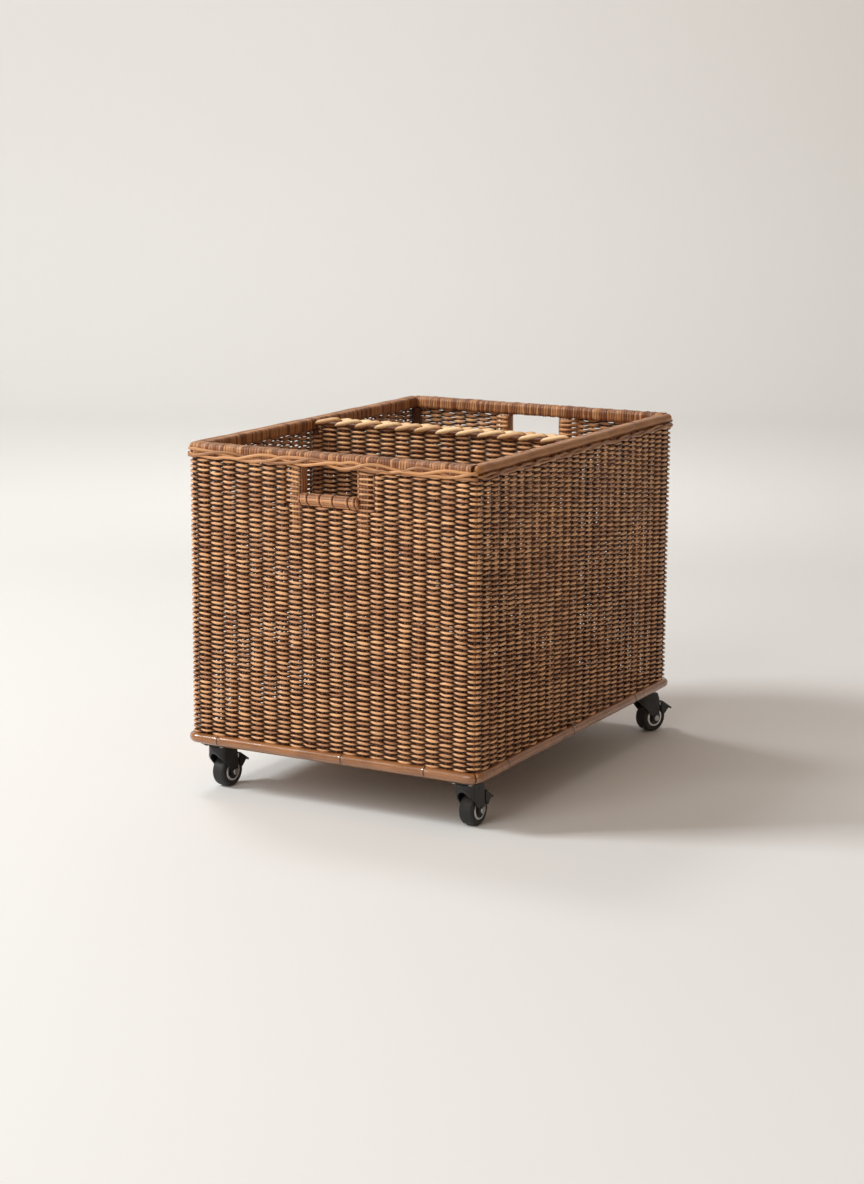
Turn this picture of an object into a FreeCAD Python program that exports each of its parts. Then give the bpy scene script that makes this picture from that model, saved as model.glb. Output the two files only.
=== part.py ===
"""Rolling wicker storage trunk: an open woven box with one woven divider, on four braked casters.

Frame: millimetres, +Z up, origin on the floor under the middle of the trunk.
-Y is the front hand-hold wall, +X the right long wall. Each sub-part is written to parts/NODE.step.

How it goes together: stakes stand in holes drilled in the base poles and end in the top rails. The weavers
run round them, turning back at the hand-hold posts. Poles, corner posts and rails are the frame, the plywood
board carries the casters, and the braid closes the top of the divider.
"""

import FreeCAD
import Part

import math
import os

V = FreeCAD.Vector

# ---- driving dimensions ----
BODY_WIDTH = 510.0  # X, over the weave
BODY_LENGTH = 724.0  # Y, over the weave
RIM_HEIGHT = 555.0  # floor to the top of the rails
CASTER_HEIGHT = 75.0  # floor to the underside of the board
WEAVE_CORNER = 18.0  # upright outer corners of the weave
RAIL_CORNER = 10.0
BOARD_CORNER = 8.0

BOARD_THICKNESS = 12.0
POLE_DIAMETER = 16.0
POLE_PROUD = 5.0  # how far the base poles stand out past the weave
POLE_BEND = 14.0  # bend radius of the base poles at the corners, on their centre line

STAKE_DIAMETER = 4.5
WEAVER_DIAMETER = 4.0
STAKE_CLEARANCE = 0.1
SHORT_WALL_SPACES = 21  # spaces between stakes
LONG_WALL_SPACES = 26
DIVIDER_SPACES = 17

RAIL_WIDTH = 24.0
RAIL_HEIGHT = 20.0
RAIL_ROUND = 6.0
CAP_THICKNESS = 13.0  # smooth half-round pole on the long rails
STAKE_IN_RAIL = 6.0

ROPE_THICKNESS = 6.0
ROPE_HEIGHT = 15.0
ROPE_BELOW_RAIL = 4.0
ROPE_ROUND = 2.5

CORNER_POST_DIAMETER = 16.0
CORNER_POST_INSET = 21.0

HAND_HOLE_WIDTH = 94.0
HAND_HOLE_HEIGHT = 43.0
HANDLE_BAR_DIAMETER = 19.0
HANDLE_BAR_OVERHANG = 5.0  # past each side of the hole, let into the posts
HANDLE_BAR_INSET = 6.5
HANDLE_POST_WIDTH = 20.0
HANDLE_POST_DEPTH = 16.0
HANDLE_POST_INSET = 6.0
HANDLE_POST_LENGTH = 103.0

DIVIDER_Y = -5.0
BRAID_WIDTH = 32.0
BRAID_HEIGHT = 17.0
BRAID_ABOVE_RIM = 5.0
BRAID_ROUND = 7.0
STILE_DIAMETER = 12.0
STILE_INSET = 20.0
DIVIDER_CLEARANCE = 1.0

WHEEL_DIAMETER = 50.0
WHEEL_WIDTH = 24.0
SWIVEL_INSET = 34.0  # kingpin to the outer faces of both walls
TRAIL = 20.0  # kingpin to axle, measured level
PLATE_SIZE = 38.0
PLATE_THICKNESS = 2.5
SCREW_SPACING = 28.0
SCREW_RADIUS = 1.75
RUNNING_CLEARANCE = 0.05
AXLE_RADIUS = 3.0
LEG_THICKNESS = 2.5
LEG_INSIDE = 13.5  # middle of the wheel to the inside of a fork leg
PEDAL_PIVOT = (12.0, 61.0)  # along the trail and above the floor

# Which way each caster trails at rest, in degrees from +X towards +Y.
CASTERS = {
    "front_left": (-1, -1, 83.0),
    "front_right": (1, -1, 86.5),
    "rear_left": (-1, 1, 97.0),
    "rear_right": (1, 1, 64.5),
}

# ---- sizes worked out from them ----
HALF_X = BODY_WIDTH / 2
HALF_Y = BODY_LENGTH / 2
WEAVE_THICKNESS = STAKE_DIAMETER + 2 * WEAVER_DIAMETER
STAKE_INSET = WEAVE_THICKNESS / 2
BOARD_TOP = CASTER_HEIGHT + BOARD_THICKNESS
POLE_RADIUS = POLE_DIAMETER / 2
POLE_INSET = POLE_RADIUS - POLE_PROUD
POLE_AXIS_Z = BOARD_TOP
WEAVE_BOTTOM = POLE_AXIS_Z + POLE_RADIUS
RAIL_BOTTOM = RIM_HEIGHT - RAIL_HEIGHT
RAIL_INSIDE_X = HALF_X - RAIL_WIDTH
RAIL_INSIDE_Y = HALF_Y - RAIL_WIDTH
BAR_RADIUS = HANDLE_BAR_DIAMETER / 2
BAR_Z = RAIL_BOTTOM - HAND_HOLE_HEIGHT - BAR_RADIUS
BRAID_TOP = RIM_HEIGHT + BRAID_ABOVE_RIM
BRAID_BOTTOM = BRAID_TOP - BRAID_HEIGHT
WHEEL_RADIUS = WHEEL_DIAMETER / 2
PLATE_BOTTOM = CASTER_HEIGHT - PLATE_THICKNESS
BIG = 1000.0


# ---- small helpers ----
def block(x0, y0, z0, x1, y1, z1):
    """A box between two corners."""
    return Part.makeBox(x1 - x0, y1 - y0, z1 - z0, V(x0, y0, z0))


def prism(points, z0, z1):
    """A straight-sided outline in plan, raised from z0 to z1."""
    wire = Part.makePolygon([V(x, y, z0) for x, y in points + points[:1]])
    return Part.Face(wire).extrude(V(0, 0, z1 - z0))


def rounded_block(half_x, half_y, radius, z0, z1):
    """A box centred on the Z axis with rounded upright edges."""
    solid = block(-half_x, -half_y, z0, half_x, half_y, z1)
    upright = [e for e in solid.Edges if abs(e.tangentAt(e.FirstParameter).z) > 0.99]
    return solid.makeFillet(radius, upright)


def rod(radius, z0, z1, x=0.0, y=0.0):
    """An upright cylinder."""
    return Part.makeCylinder(radius, z1 - z0, V(x, y, z0))


def level_edges(solid, z):
    """The edges of a solid that lie level at height z."""
    return [e for e in solid.Edges if abs(e.BoundBox.ZMin - z) < 1e-4 and abs(e.BoundBox.ZMax - z) < 1e-4]


def mitre_wedge(side, z0, z1):
    """The quarter of the plan that belongs to one wall, cut at 45 degrees through the corners."""
    out, inward = 60.0, 150.0
    if side in ("front", "rear"):
        s = -1 if side == "front" else 1
        points = [
            (-HALF_X - out, s * (HALF_Y + out)),
            (HALF_X + out, s * (HALF_Y + out)),
            (HALF_X - inward, s * (HALF_Y - inward)),
            (-HALF_X + inward, s * (HALF_Y - inward)),
        ]
    else:
        s = -1 if side == "left" else 1
        points = [
            (s * (HALF_X + out), -HALF_Y - out),
            (s * (HALF_X + out), HALF_Y + out),
            (s * (HALF_X - inward), HALF_Y - inward),
            (s * (HALF_X - inward), -HALF_Y + inward),
        ]
    return prism(points, z0, z1)


def save(name, shapes):
    """Writes one node: a solid, or a group of separate solids."""
    solids = [s for shape in (shapes if isinstance(shapes, list) else [shapes]) for s in shape.Solids]
    shape = solids[0] if len(solids) == 1 else Part.makeCompound(solids)
    if not shape.isValid():
        raise ValueError(name + " is not a valid shape")
    shape.exportStep("parts/" + name + ".step")
    print(name, len(solids), round(sum(s.Volume for s in solids) / 1000.0, 2))


# ---- stakes ----
def wall_stake_places():
    """Plan positions of the stakes: evenly spaced along each wall, and one in the bend of each corner."""
    x, y = HALF_X - STAKE_INSET, HALF_Y - STAKE_INSET
    k = (WEAVE_CORNER - STAKE_INSET) * (1 - math.sqrt(0.5))
    places = [(i * (x - k), j * (y - k)) for i in (-1, 1) for j in (-1, 1)]
    for s in (-1, 1):
        places += [(-x + 2 * x * i / SHORT_WALL_SPACES, s * y) for i in range(1, SHORT_WALL_SPACES)]
        places += [(s * x, -y + 2 * y * i / LONG_WALL_SPACES) for i in range(1, LONG_WALL_SPACES)]
    return places


def stake_top(x, y):
    """Stakes end in the rail, or below the hand-hold bar and the hand-hold posts."""
    on_short_wall = abs(y) > HALF_Y - WEAVE_THICKNESS
    if on_short_wall and abs(x) < HAND_HOLE_WIDTH / 2:
        return BAR_Z - BAR_RADIUS - 0.5
    if on_short_wall and abs(x) < HAND_HOLE_WIDTH / 2 + HANDLE_POST_WIDTH:
        return RAIL_BOTTOM - HANDLE_POST_LENGTH
    return RAIL_BOTTOM + STAKE_IN_RAIL


def wall_stakes():
    r = STAKE_DIAMETER / 2
    return [rod(r, POLE_AXIS_Z, stake_top(x, y), x, y) for x, y in wall_stake_places()]


def stake_holes():
    """The holes that the wall stakes leave in poles, weave and rails."""
    r = STAKE_DIAMETER / 2 + STAKE_CLEARANCE
    low, high = POLE_AXIS_Z - STAKE_CLEARANCE, STAKE_CLEARANCE
    return Part.makeCompound([rod(r, low, stake_top(x, y) + high, x, y) for x, y in wall_stake_places()])


def divider_stake_places():
    x = HALF_X - STILE_INSET
    return [-x + 2 * x * i / DIVIDER_SPACES for i in range(1, DIVIDER_SPACES)]


# ---- frame ----
def base_pole_ring():
    """A round pole bent to a rounded rectangle, as one sweep."""
    x, y, b = HALF_X - POLE_INSET, HALF_Y - POLE_INSET, POLE_BEND
    corners = [(x, y), (-x, y), (-x, -y), (x, -y)]
    edges = []
    for i, (cx, cy) in enumerate(corners):
        sx, sy = math.copysign(1, cx), math.copysign(1, cy)
        on_x = V(cx, cy - sy * b, POLE_AXIS_Z)
        on_y = V(cx - sx * b, cy, POLE_AXIS_Z)
        start, end = (on_x, on_y) if i % 2 == 0 else (on_y, on_x)
        k = b * (1 - math.sqrt(0.5))
        middle = V(cx - sx * k, cy - sy * k, POLE_AXIS_Z)
        edges.append((start, middle, end))
    path = []
    for i, (start, middle, end) in enumerate(edges):
        path.append(Part.Arc(start, middle, end).toShape())
        path.append(Part.LineSegment(end, edges[(i + 1) % 4][0]).toShape())
    wire = Part.Wire(path)
    section = Part.Wire(Part.Circle(edges[0][0], V(0, 1, 0), POLE_RADIUS).toShape())
    return wire.makePipeShell([section], True, False)


def base_board():
    half_x = HALF_X - POLE_INSET - POLE_RADIUS
    half_y = HALF_Y - POLE_INSET - POLE_RADIUS
    board = rounded_block(half_x, half_y, BOARD_CORNER, CASTER_HEIGHT, BOARD_TOP)
    pilot = SCREW_RADIUS + RUNNING_CLEARANCE
    holes = [rod(pilot, CASTER_HEIGHT, BOARD_TOP - 1.5, x, y) for x, y in screw_places()]
    return board.cut(Part.makeCompound(holes))


def corner_post(sx, sy):
    x, y = HALF_X - CORNER_POST_INSET, HALF_Y - CORNER_POST_INSET
    return rod(CORNER_POST_DIAMETER / 2, BOARD_TOP, RAIL_BOTTOM, sx * x, sy * y)


def rail_zone(side, z0, z1):
    """One rail of the rim: the long rails run right through, the short ones between them."""
    if side in ("front", "rear"):
        ys = (-BIG, 0.0) if side == "front" else (0.0, BIG)
        return block(-RAIL_INSIDE_X, ys[0], z0, RAIL_INSIDE_X, ys[1], z1)
    xs = (-BIG, -RAIL_INSIDE_X) if side == "left" else (RAIL_INSIDE_X, BIG)
    return block(xs[0], -BIG, z0, xs[1], BIG, z1)


def rail_ring():
    """All four rails in one: a rounded rectangular frame with its four long edges rounded over."""
    outer = rounded_block(HALF_X, HALF_Y, RAIL_CORNER, RAIL_BOTTOM, RIM_HEIGHT)
    x, y = RAIL_INSIDE_X, RAIL_INSIDE_Y
    ring = outer.cut(block(-x, -y, RAIL_BOTTOM, x, y, RIM_HEIGHT))
    return ring.makeFillet(RAIL_ROUND, level_edges(ring, RIM_HEIGHT))


def border_rope():
    """The bound edge that covers the joint between weave and rail, outside."""
    z0 = RAIL_BOTTOM - ROPE_BELOW_RAIL
    z1 = z0 + ROPE_HEIGHT
    t = ROPE_THICKNESS
    outer = rounded_block(HALF_X + t, HALF_Y + t, RAIL_CORNER + t, z0, z1)
    outer = outer.makeFillet(ROPE_ROUND, level_edges(outer, z0) + level_edges(outer, z1))
    return outer.cut(rounded_block(HALF_X, HALF_Y, RAIL_CORNER, z0, z1))


# ---- woven walls ----
def weave_ring():
    outer = rounded_block(HALF_X, HALF_Y, WEAVE_CORNER, WEAVE_BOTTOM, RAIL_BOTTOM)
    t = WEAVE_THICKNESS
    return outer.cut(block(-HALF_X + t, -HALF_Y + t, WEAVE_BOTTOM, HALF_X - t, HALF_Y - t, RAIL_BOTTOM))


def handle_bar(sy, extra=0.0):
    """A round bar under the hand hole, standing a little out of the weave."""
    half = HAND_HOLE_WIDTH / 2 + HANDLE_BAR_OVERHANG + extra
    y = sy * (HALF_Y - HANDLE_BAR_INSET)
    return Part.makeCylinder(BAR_RADIUS + extra, 2 * half, V(-half, y, BAR_Z), V(1, 0, 0))


def handle_post(sx, sy, grow=0.0):
    """A flat post beside the hand hole, from the rail down past the bar."""
    x0 = HAND_HOLE_WIDTH / 2
    x1 = x0 + HANDLE_POST_WIDTH
    y0 = HALF_Y - HANDLE_POST_INSET - HANDLE_POST_DEPTH
    y1 = HALF_Y - HANDLE_POST_INSET
    xs = sorted((sx * (x0 - grow), sx * (x1 + grow)))
    ys = sorted((sy * (y0 - grow), sy * (y1 + grow)))
    return block(xs[0], ys[0], RAIL_BOTTOM - HANDLE_POST_LENGTH - grow, xs[1], ys[1], RAIL_BOTTOM)


def finished_handle_post(sx, sy):
    post = handle_post(sx, sy)
    upright = [e for e in post.Edges if abs(e.tangentAt(e.FirstParameter).z) > 0.99]
    return post.makeFillet(3.0, upright).cut(handle_bar(sy, STAKE_CLEARANCE))


def hand_hole(sy):
    half = HAND_HOLE_WIDTH / 2
    ys = sorted((sy * (HALF_Y - 40.0), sy * (HALF_Y + 40.0)))
    return block(-half, ys[0], BAR_Z, half, ys[1], RAIL_BOTTOM)


def woven_wall(side, ring, holes):
    wall = ring.common(mitre_wedge(side, WEAVE_BOTTOM, RAIL_BOTTOM)).cut(holes)
    if side in ("front", "rear"):
        sy = -1 if side == "front" else 1
        wall = wall.cut(handle_bar(sy, STAKE_CLEARANCE)).cut(hand_hole(sy))
        wall = wall.cut(handle_post(-1, sy, STAKE_CLEARANCE)).cut(handle_post(1, sy, STAKE_CLEARANCE))
    return wall


# ---- divider ----
def divider_stiles(extra=0.0):
    x = HALF_X - STILE_INSET
    return [rod(STILE_DIAMETER / 2 + extra, BOARD_TOP, RAIL_BOTTOM, s * x, DIVIDER_Y) for s in (-1, 1)]


def divider_stakes(extra=0.0):
    top = BRAID_BOTTOM + BRAID_HEIGHT / 2
    radius = STAKE_DIAMETER / 2 + extra
    return [rod(radius, BOARD_TOP, top + extra, x, DIVIDER_Y) for x in divider_stake_places()]


def divider_weave():
    """A woven sheet between the long walls, narrower where it passes between the rails."""
    half = HALF_X - WEAVE_THICKNESS - DIVIDER_CLEARANCE
    neck_half = RAIL_INSIDE_X - 0.5
    neck_z = RAIL_BOTTOM - 0.5
    y0, y1 = DIVIDER_Y - WEAVE_THICKNESS / 2, DIVIDER_Y + WEAVE_THICKNESS / 2
    sheet = block(-half, y0, BOARD_TOP, half, y1, neck_z)
    neck = block(-neck_half, y0, neck_z, neck_half, y1, BRAID_BOTTOM)
    holes = divider_stiles(STAKE_CLEARANCE) + divider_stakes(STAKE_CLEARANCE)
    return sheet.fuse(neck).removeSplitter().cut(Part.makeCompound(holes))


def divider_braid():
    y0, y1 = DIVIDER_Y - BRAID_WIDTH / 2, DIVIDER_Y + BRAID_WIDTH / 2
    bar = block(-RAIL_INSIDE_X, y0, BRAID_BOTTOM, RAIL_INSIDE_X, y1, BRAID_TOP)
    along = [e for e in bar.Edges if abs(e.tangentAt(e.FirstParameter).x) > 0.99]
    return bar.makeFillet(BRAID_ROUND, along).cut(Part.makeCompound(divider_stakes(STAKE_CLEARANCE)))


# ---- casters, each made with its kingpin on the Z axis and trailing towards +X ----
def kingpin_place(sx, sy):
    return sx * (HALF_X - SWIVEL_INSET), sy * (HALF_Y - SWIVEL_INSET)


def screw_places():
    half = SCREW_SPACING / 2
    places = []
    for sx, sy, _ in CASTERS.values():
        x, y = kingpin_place(sx, sy)
        places += [(x + i * half, y + j * half) for i in (-1, 1) for j in (-1, 1)]
    return places


def caster_screws():
    """Pan-head wood screws through the plates, up into the board."""
    screws = []
    for x, y in screw_places():
        shank = rod(SCREW_RADIUS, PLATE_BOTTOM, BOARD_TOP - 2.0, x, y)
        head = rod(2 * SCREW_RADIUS, PLATE_BOTTOM - 2.0, PLATE_BOTTOM, x, y)
        head = head.makeFillet(1.2, level_edges(head, PLATE_BOTTOM - 2.0))
        screws.append(shank.fuse(head))
    return screws


RACE_BOTTOM = PLATE_BOTTOM - 2.5
CROWN_TOP = RACE_BOTTOM - 0.5
CROWN_BOTTOM = CROWN_TOP - 3.5
KINGPIN_RADIUS = 4.0


def caster_plate():
    """Top plate with its upper race, and the kingpin that is riveted to it."""
    plate = rounded_block(PLATE_SIZE / 2, PLATE_SIZE / 2, 4.0, PLATE_BOTTOM, CASTER_HEIGHT)
    half, radius = SCREW_SPACING / 2, SCREW_RADIUS + 0.4
    corners = [(i * half, j * half) for i in (-1, 1) for j in (-1, 1)]
    plate = plate.cut(Part.makeCompound([rod(radius, PLATE_BOTTOM, CASTER_HEIGHT, x, y) for x, y in corners]))
    race = rod(15.5, RACE_BOTTOM, PLATE_BOTTOM)
    race = race.makeFillet(1.0, level_edges(race, RACE_BOTTOM))
    pin = rod(KINGPIN_RADIUS, CROWN_BOTTOM - 2.5, RACE_BOTTOM)
    pin = pin.fuse(rod(7.0, CROWN_BOTTOM - 2.5, CROWN_BOTTOM - 0.3))
    return [plate.fuse(race), pin.removeSplitter()]


def side_outline(grow=0.0):
    """Side view of the fork, X along the trail: crown at the top, round eye at the axle."""
    eye = 8.0 + grow
    lead, rear = -16.0, 25.0
    foot_lead = V(TRAIL - eye * 0.94, 0, WHEEL_RADIUS + eye * 0.34)
    foot_rear = V(TRAIL + eye * 0.97, 0, WHEEL_RADIUS + eye * 0.24)
    points = [
        foot_rear,
        V(rear + 2.0, 0, 48.0),
        V(rear + 1.0, 0, 60.0),
        V(rear - 3.0, 0, CROWN_TOP),
        V(lead, 0, CROWN_TOP),
        V(lead, 0, CROWN_BOTTOM - 3.0),
        V(lead + 5.0, 0, 53.0),
        foot_lead,
    ]
    edges = [Part.LineSegment(a, b).toShape() for a, b in zip(points, points[1:])]
    edges.append(Part.Arc(foot_lead, V(TRAIL, 0, WHEEL_RADIUS - eye), foot_rear).toShape())
    return Part.Face(Part.Wire(edges))


def caster_fork():
    """Pressed steel fork: a hood round the kingpin, two legs down to the axle, and the brake's pivot pin."""
    outside = LEG_INSIDE + LEG_THICKNESS
    body = side_outline().extrude(V(0, 2 * outside, 0))
    body.translate(V(0, -outside, 0))
    plan = rod(outside, 0, BIG / 10).fuse(block(0, -outside, 0, BIG / 10, outside, BIG / 10))
    body = body.common(plan)
    room = block(-BIG / 10, -LEG_INSIDE, 0, BIG / 10, LEG_INSIDE, CROWN_BOTTOM)
    hood_plan = rod(LEG_INSIDE, 0, BIG / 10).fuse(block(0, -LEG_INSIDE, 0, BIG / 10, LEG_INSIDE, BIG / 10))
    body = body.cut(room.common(hood_plan))
    wheel_room = Part.makeCylinder(
        WHEEL_RADIUS + 3.0, 2 * LEG_INSIDE, V(TRAIL, -LEG_INSIDE, WHEEL_RADIUS), V(0, 1, 0)
    )
    body = body.cut(wheel_room)
    body = body.cut(rod(KINGPIN_RADIUS + RUNNING_CLEARANCE, CROWN_BOTTOM, CROWN_TOP))
    across = 2 * outside + 2
    axle_hole = Part.makeCylinder(
        AXLE_RADIUS + RUNNING_CLEARANCE, across, V(TRAIL, -across / 2, WHEEL_RADIUS), V(0, 1, 0)
    )
    body = body.cut(axle_hole)
    px, pz = PEDAL_PIVOT
    body = body.cut(Part.makeCylinder(2.0 + RUNNING_CLEARANCE, across, V(px, -across / 2, pz), V(0, 1, 0)))
    pin = Part.makeCylinder(2.0, 2 * outside + 1.0, V(px, -outside - 0.5, pz), V(0, 1, 0))
    return [body, pin]


def lathe(profile):
    """Turns a profile of (radius, sideways) points round the axle."""
    points = [V(TRAIL, y, WHEEL_RADIUS + r) for r, y in profile]
    face = Part.Face(Part.makePolygon(points + points[:1]))
    return face.revolve(V(TRAIL, 0, WHEEL_RADIUS), V(0, 1, 0), 360)


HUB_RADIUS = 16.0
RING_INNER = 12.2
RING_OUTER = 15.8
WEB_HALF = 10.5
NUT_RADIUS = 5.8  # to its corners
NUT_HEIGHT = 3.5


def caster_tyre():
    half = WHEEL_WIDTH / 2
    tyre = lathe([(HUB_RADIUS, -half), (WHEEL_RADIUS, -half), (WHEEL_RADIUS, half), (HUB_RADIUS, half)])
    rings = [e for e in tyre.Edges if hasattr(e.Curve, "Radius") and e.BoundBox.YLength < 0.01]
    return tyre.makeFillet(5.0, [e for e in rings if abs(e.Curve.Radius - WHEEL_RADIUS) < 0.01])


def caster_hub():
    bore = AXLE_RADIUS + RUNNING_CLEARANCE
    boss, end = 6.5, LEG_INSIDE - 0.4
    return lathe(
        [
            (bore, -end),
            (boss, -end),
            (boss, -WEB_HALF),
            (HUB_RADIUS, -WEB_HALF),
            (HUB_RADIUS, WEB_HALF),
            (boss, WEB_HALF),
            (boss, end),
            (bore, end),
        ]
    )


def caster_rings():
    """The bright thread-guard ring on each side of the wheel."""
    rings = []
    for s in (-1, 1):
        a, b = s * WEB_HALF, s * (WHEEL_WIDTH / 2 + 0.4)
        chamfer = [(RING_OUTER, b - s * 0.8), (RING_OUTER - 0.8, b)]
        rings.append(lathe([(RING_INNER, a), (RING_OUTER, a)] + chamfer + [(RING_INNER, b)]))
    return rings


def caster_axle():
    """Axle bolt: round head on one side, nut on the other."""
    outside = LEG_INSIDE + LEG_THICKNESS
    shank = Part.makeCylinder(AXLE_RADIUS, 2 * outside + 5.0, V(TRAIL, -outside, WHEEL_RADIUS), V(0, 1, 0))
    head = Part.makeCylinder(5.5, 3.0, V(TRAIL, -outside - 3.0, WHEEL_RADIUS), V(0, 1, 0))
    rim = [e for e in head.Edges if e.BoundBox.YMax < -outside - 2.9]
    head = head.makeFillet(1.5, rim)
    turns = [math.radians(60 * k) for k in range(7)]
    places = [(TRAIL + NUT_RADIUS * math.cos(t), WHEEL_RADIUS + NUT_RADIUS * math.sin(t)) for t in turns]
    hexagon = [V(x, outside, z) for x, z in places]
    nut = Part.Face(Part.makePolygon(hexagon)).extrude(V(0, NUT_HEIGHT, 0))
    nut = nut.cut(Part.makeCylinder(AXLE_RADIUS, NUT_HEIGHT, V(TRAIL, outside, WHEEL_RADIUS), V(0, 1, 0)))
    return [shank.fuse(head), nut]


PEDAL_THICKNESS = 2.4
PEDAL_PAD = 3.8
PEDAL_ARM = 25.0
ARM_SLOPE = math.radians(22.0)
TREADLE = 27.5
TREADLE_SLOPE = math.radians(34.0)
TREADLE_HALF = LEG_INSIDE + 1.0
CHEEK_THICKNESS = 1.9


def bent_strip(points, half_width, thickness):
    """A strip that follows points in side view, square-cut and centred on Y."""
    upper, lower = [], []
    for i, p in enumerate(points):
        a, b = points[max(i - 1, 0)], points[min(i + 1, len(points) - 1)]
        length = math.hypot(b[0] - a[0], b[1] - a[1])
        nx, nz = -(b[1] - a[1]) / length, (b[0] - a[0]) / length
        upper.append(V(p[0] + nx * thickness / 2, -half_width, p[1] + nz * thickness / 2))
        lower.append(V(p[0] - nx * thickness / 2, -half_width, p[1] - nz * thickness / 2))
    loop = upper + lower[::-1]
    return Part.Face(Part.makePolygon(loop + loop[:1])).extrude(V(0, 2 * half_width, 0))


def caster_pedal():
    """Brake lever: an eye on the pivot pin, an arm over the tread with its pad, and a cheeked treadle."""
    px, pz = PEDAL_PIVOT
    knee = (px + PEDAL_ARM * math.cos(ARM_SLOPE), pz - PEDAL_ARM * math.sin(ARM_SLOPE))
    tip = (knee[0] + TREADLE * math.cos(TREADLE_SLOPE), knee[1] - TREADLE * math.sin(TREADLE_SLOPE))
    eye_half = LEG_INSIDE - 1.5
    lever = bent_strip([(px, pz), knee], eye_half, PEDAL_THICKNESS)
    treadle = bent_strip([knee, tip], TREADLE_HALF, PEDAL_THICKNESS)
    tip_edges = [e for e in treadle.Edges if e.BoundBox.XMin > tip[0] - 1.5 and e.BoundBox.YLength < 0.1]
    treadle = treadle.makeFillet(4.0, [e for e in tip_edges if e.Length < PEDAL_THICKNESS * 1.2])
    eye = Part.makeCylinder(3.6, 2 * eye_half, V(px, -eye_half, pz), V(0, 1, 0))
    body = lever.fuse(treadle).fuse(eye)
    for k in range(3):  # grip ribs across the treadle
        at = 0.4 + 0.2 * k
        x, z = knee[0] + (tip[0] - knee[0]) * at, knee[1] + (tip[1] - knee[1]) * at
        x, z = x + math.sin(TREADLE_SLOPE) * 1.1, z + math.cos(TREADLE_SLOPE) * 1.1
        body = body.fuse(Part.makeCylinder(1.0, 2 * LEG_INSIDE - 4.0, V(x, -LEG_INSIDE + 2.0, z), V(0, 1, 0)))
    body = body.fuse(pedal_cheeks(knee, tip))
    bore = Part.makeCylinder(2.0 + RUNNING_CLEARANCE, 60.0, V(px, -30.0, pz), V(0, 1, 0))
    return [body.removeSplitter().cut(bore), brake_pad()]


def pedal_cheeks(knee, tip):
    """The two side flanges under the treadle, one each side of the tread."""
    outline = [
        V(knee[0] - 2.0, 0, knee[1]),
        V(tip[0] - 7.0, 0, tip[1] + 4.5),
        V(knee[0] + 5.0, 0, WHEEL_RADIUS + 4.0),
        V(knee[0] - 2.0, 0, WHEEL_RADIUS + 12.0),
    ]
    cheeks = []
    for y in (-TREADLE_HALF, TREADLE_HALF - CHEEK_THICKNESS):
        face = Part.Face(Part.makePolygon(outline + outline[:1])).extrude(V(0, CHEEK_THICKNESS, 0))
        face.translate(V(0, y, 0))
        cheeks.append(face)
    return cheeks


def brake_pad():
    """The rubber block under the arm, hollowed to the tread it presses on."""
    px, pz = PEDAL_PIVOT
    c, s = math.cos(ARM_SLOPE), math.sin(ARM_SLOPE)
    along = (TRAIL - px) * c + (pz - WHEEL_RADIUS) * s
    drop = PEDAL_THICKNESS / 2 + PEDAL_PAD / 2
    x, z = px + along * c - drop * s, pz - along * s - drop * c
    pad = bent_strip([(x - 4.0 * c, z + 4.0 * s), (x + 4.0 * c, z - 4.0 * s)], 8.0, PEDAL_PAD)
    return pad.cut(Part.makeCylinder(WHEEL_RADIUS + 0.3, 40.0, V(TRAIL, -20.0, WHEEL_RADIUS), V(0, 1, 0)))


def placed(shapes, x, y, angle):
    """Turns a caster's pieces to the way it trails, and moves them to its kingpin."""
    out = []
    for shape in shapes if isinstance(shapes, list) else [shapes]:
        copy = shape.copy()
        copy.rotate(V(0, 0, 0), V(0, 0, 1), angle)
        copy.translate(V(x, y, 0))
        out.append(copy)
    return out


# ---- build ----
os.makedirs("parts", exist_ok=True)
HOLES = stake_holes()
SIDES = ("front", "rear", "left", "right")

save("base_board", base_board())
poles = base_pole_ring()
for side in SIDES:
    quarter = poles.common(mitre_wedge(side, POLE_AXIS_Z - 20.0, POLE_AXIS_Z + 20.0))
    save("base_pole_" + side, quarter.cut(HOLES))

for name, (sx, sy, _) in CASTERS.items():
    save("corner_post_" + name, corner_post(sx, sy))

rails = rail_ring()
cap_bottom = RIM_HEIGHT - CAP_THICKNESS  # at or above the stakes' ends
for side in SIDES:
    if side in ("front", "rear"):
        save("rail_" + side, rails.common(rail_zone(side, RAIL_BOTTOM, RIM_HEIGHT)).cut(HOLES))
    else:
        save("rail_" + side, rails.common(rail_zone(side, RAIL_BOTTOM, cap_bottom)).cut(HOLES))
        save("rail_cap_" + side, rails.common(rail_zone(side, cap_bottom, RIM_HEIGHT)))
save("border_rope", border_rope())

weave = weave_ring()
for side in SIDES:
    save("woven_wall_" + side, woven_wall(side, weave, HOLES))
save("wall_stakes", wall_stakes())

for end, sy in (("front", -1), ("rear", 1)):
    save("handle_bar_" + end, handle_bar(sy))
    for hand, sx in (("left", -1), ("right", 1)):
        save("handle_post_" + end + "_" + hand, finished_handle_post(sx, sy))

save("divider_weave", divider_weave())
save("divider_stakes", divider_stakes())
save("divider_stiles", divider_stiles())
save("divider_braid", divider_braid())

save("caster_screws", caster_screws())
pieces = {
    "fork": caster_fork(),
    "tyre": caster_tyre(),
    "hub": caster_hub(),
    "rings": caster_rings(),
    "axle": caster_axle(),
    "pedal": caster_pedal(),
}
plate = caster_plate()
for name, (sx, sy, angle) in CASTERS.items():
    x, y = kingpin_place(sx, sy)
    save("caster_" + name + "_plate", placed(plate, x, y, 0.0))
    for piece, shape in pieces.items():
        save("caster_" + name + "_" + piece, placed(shape, x, y, angle))
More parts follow.
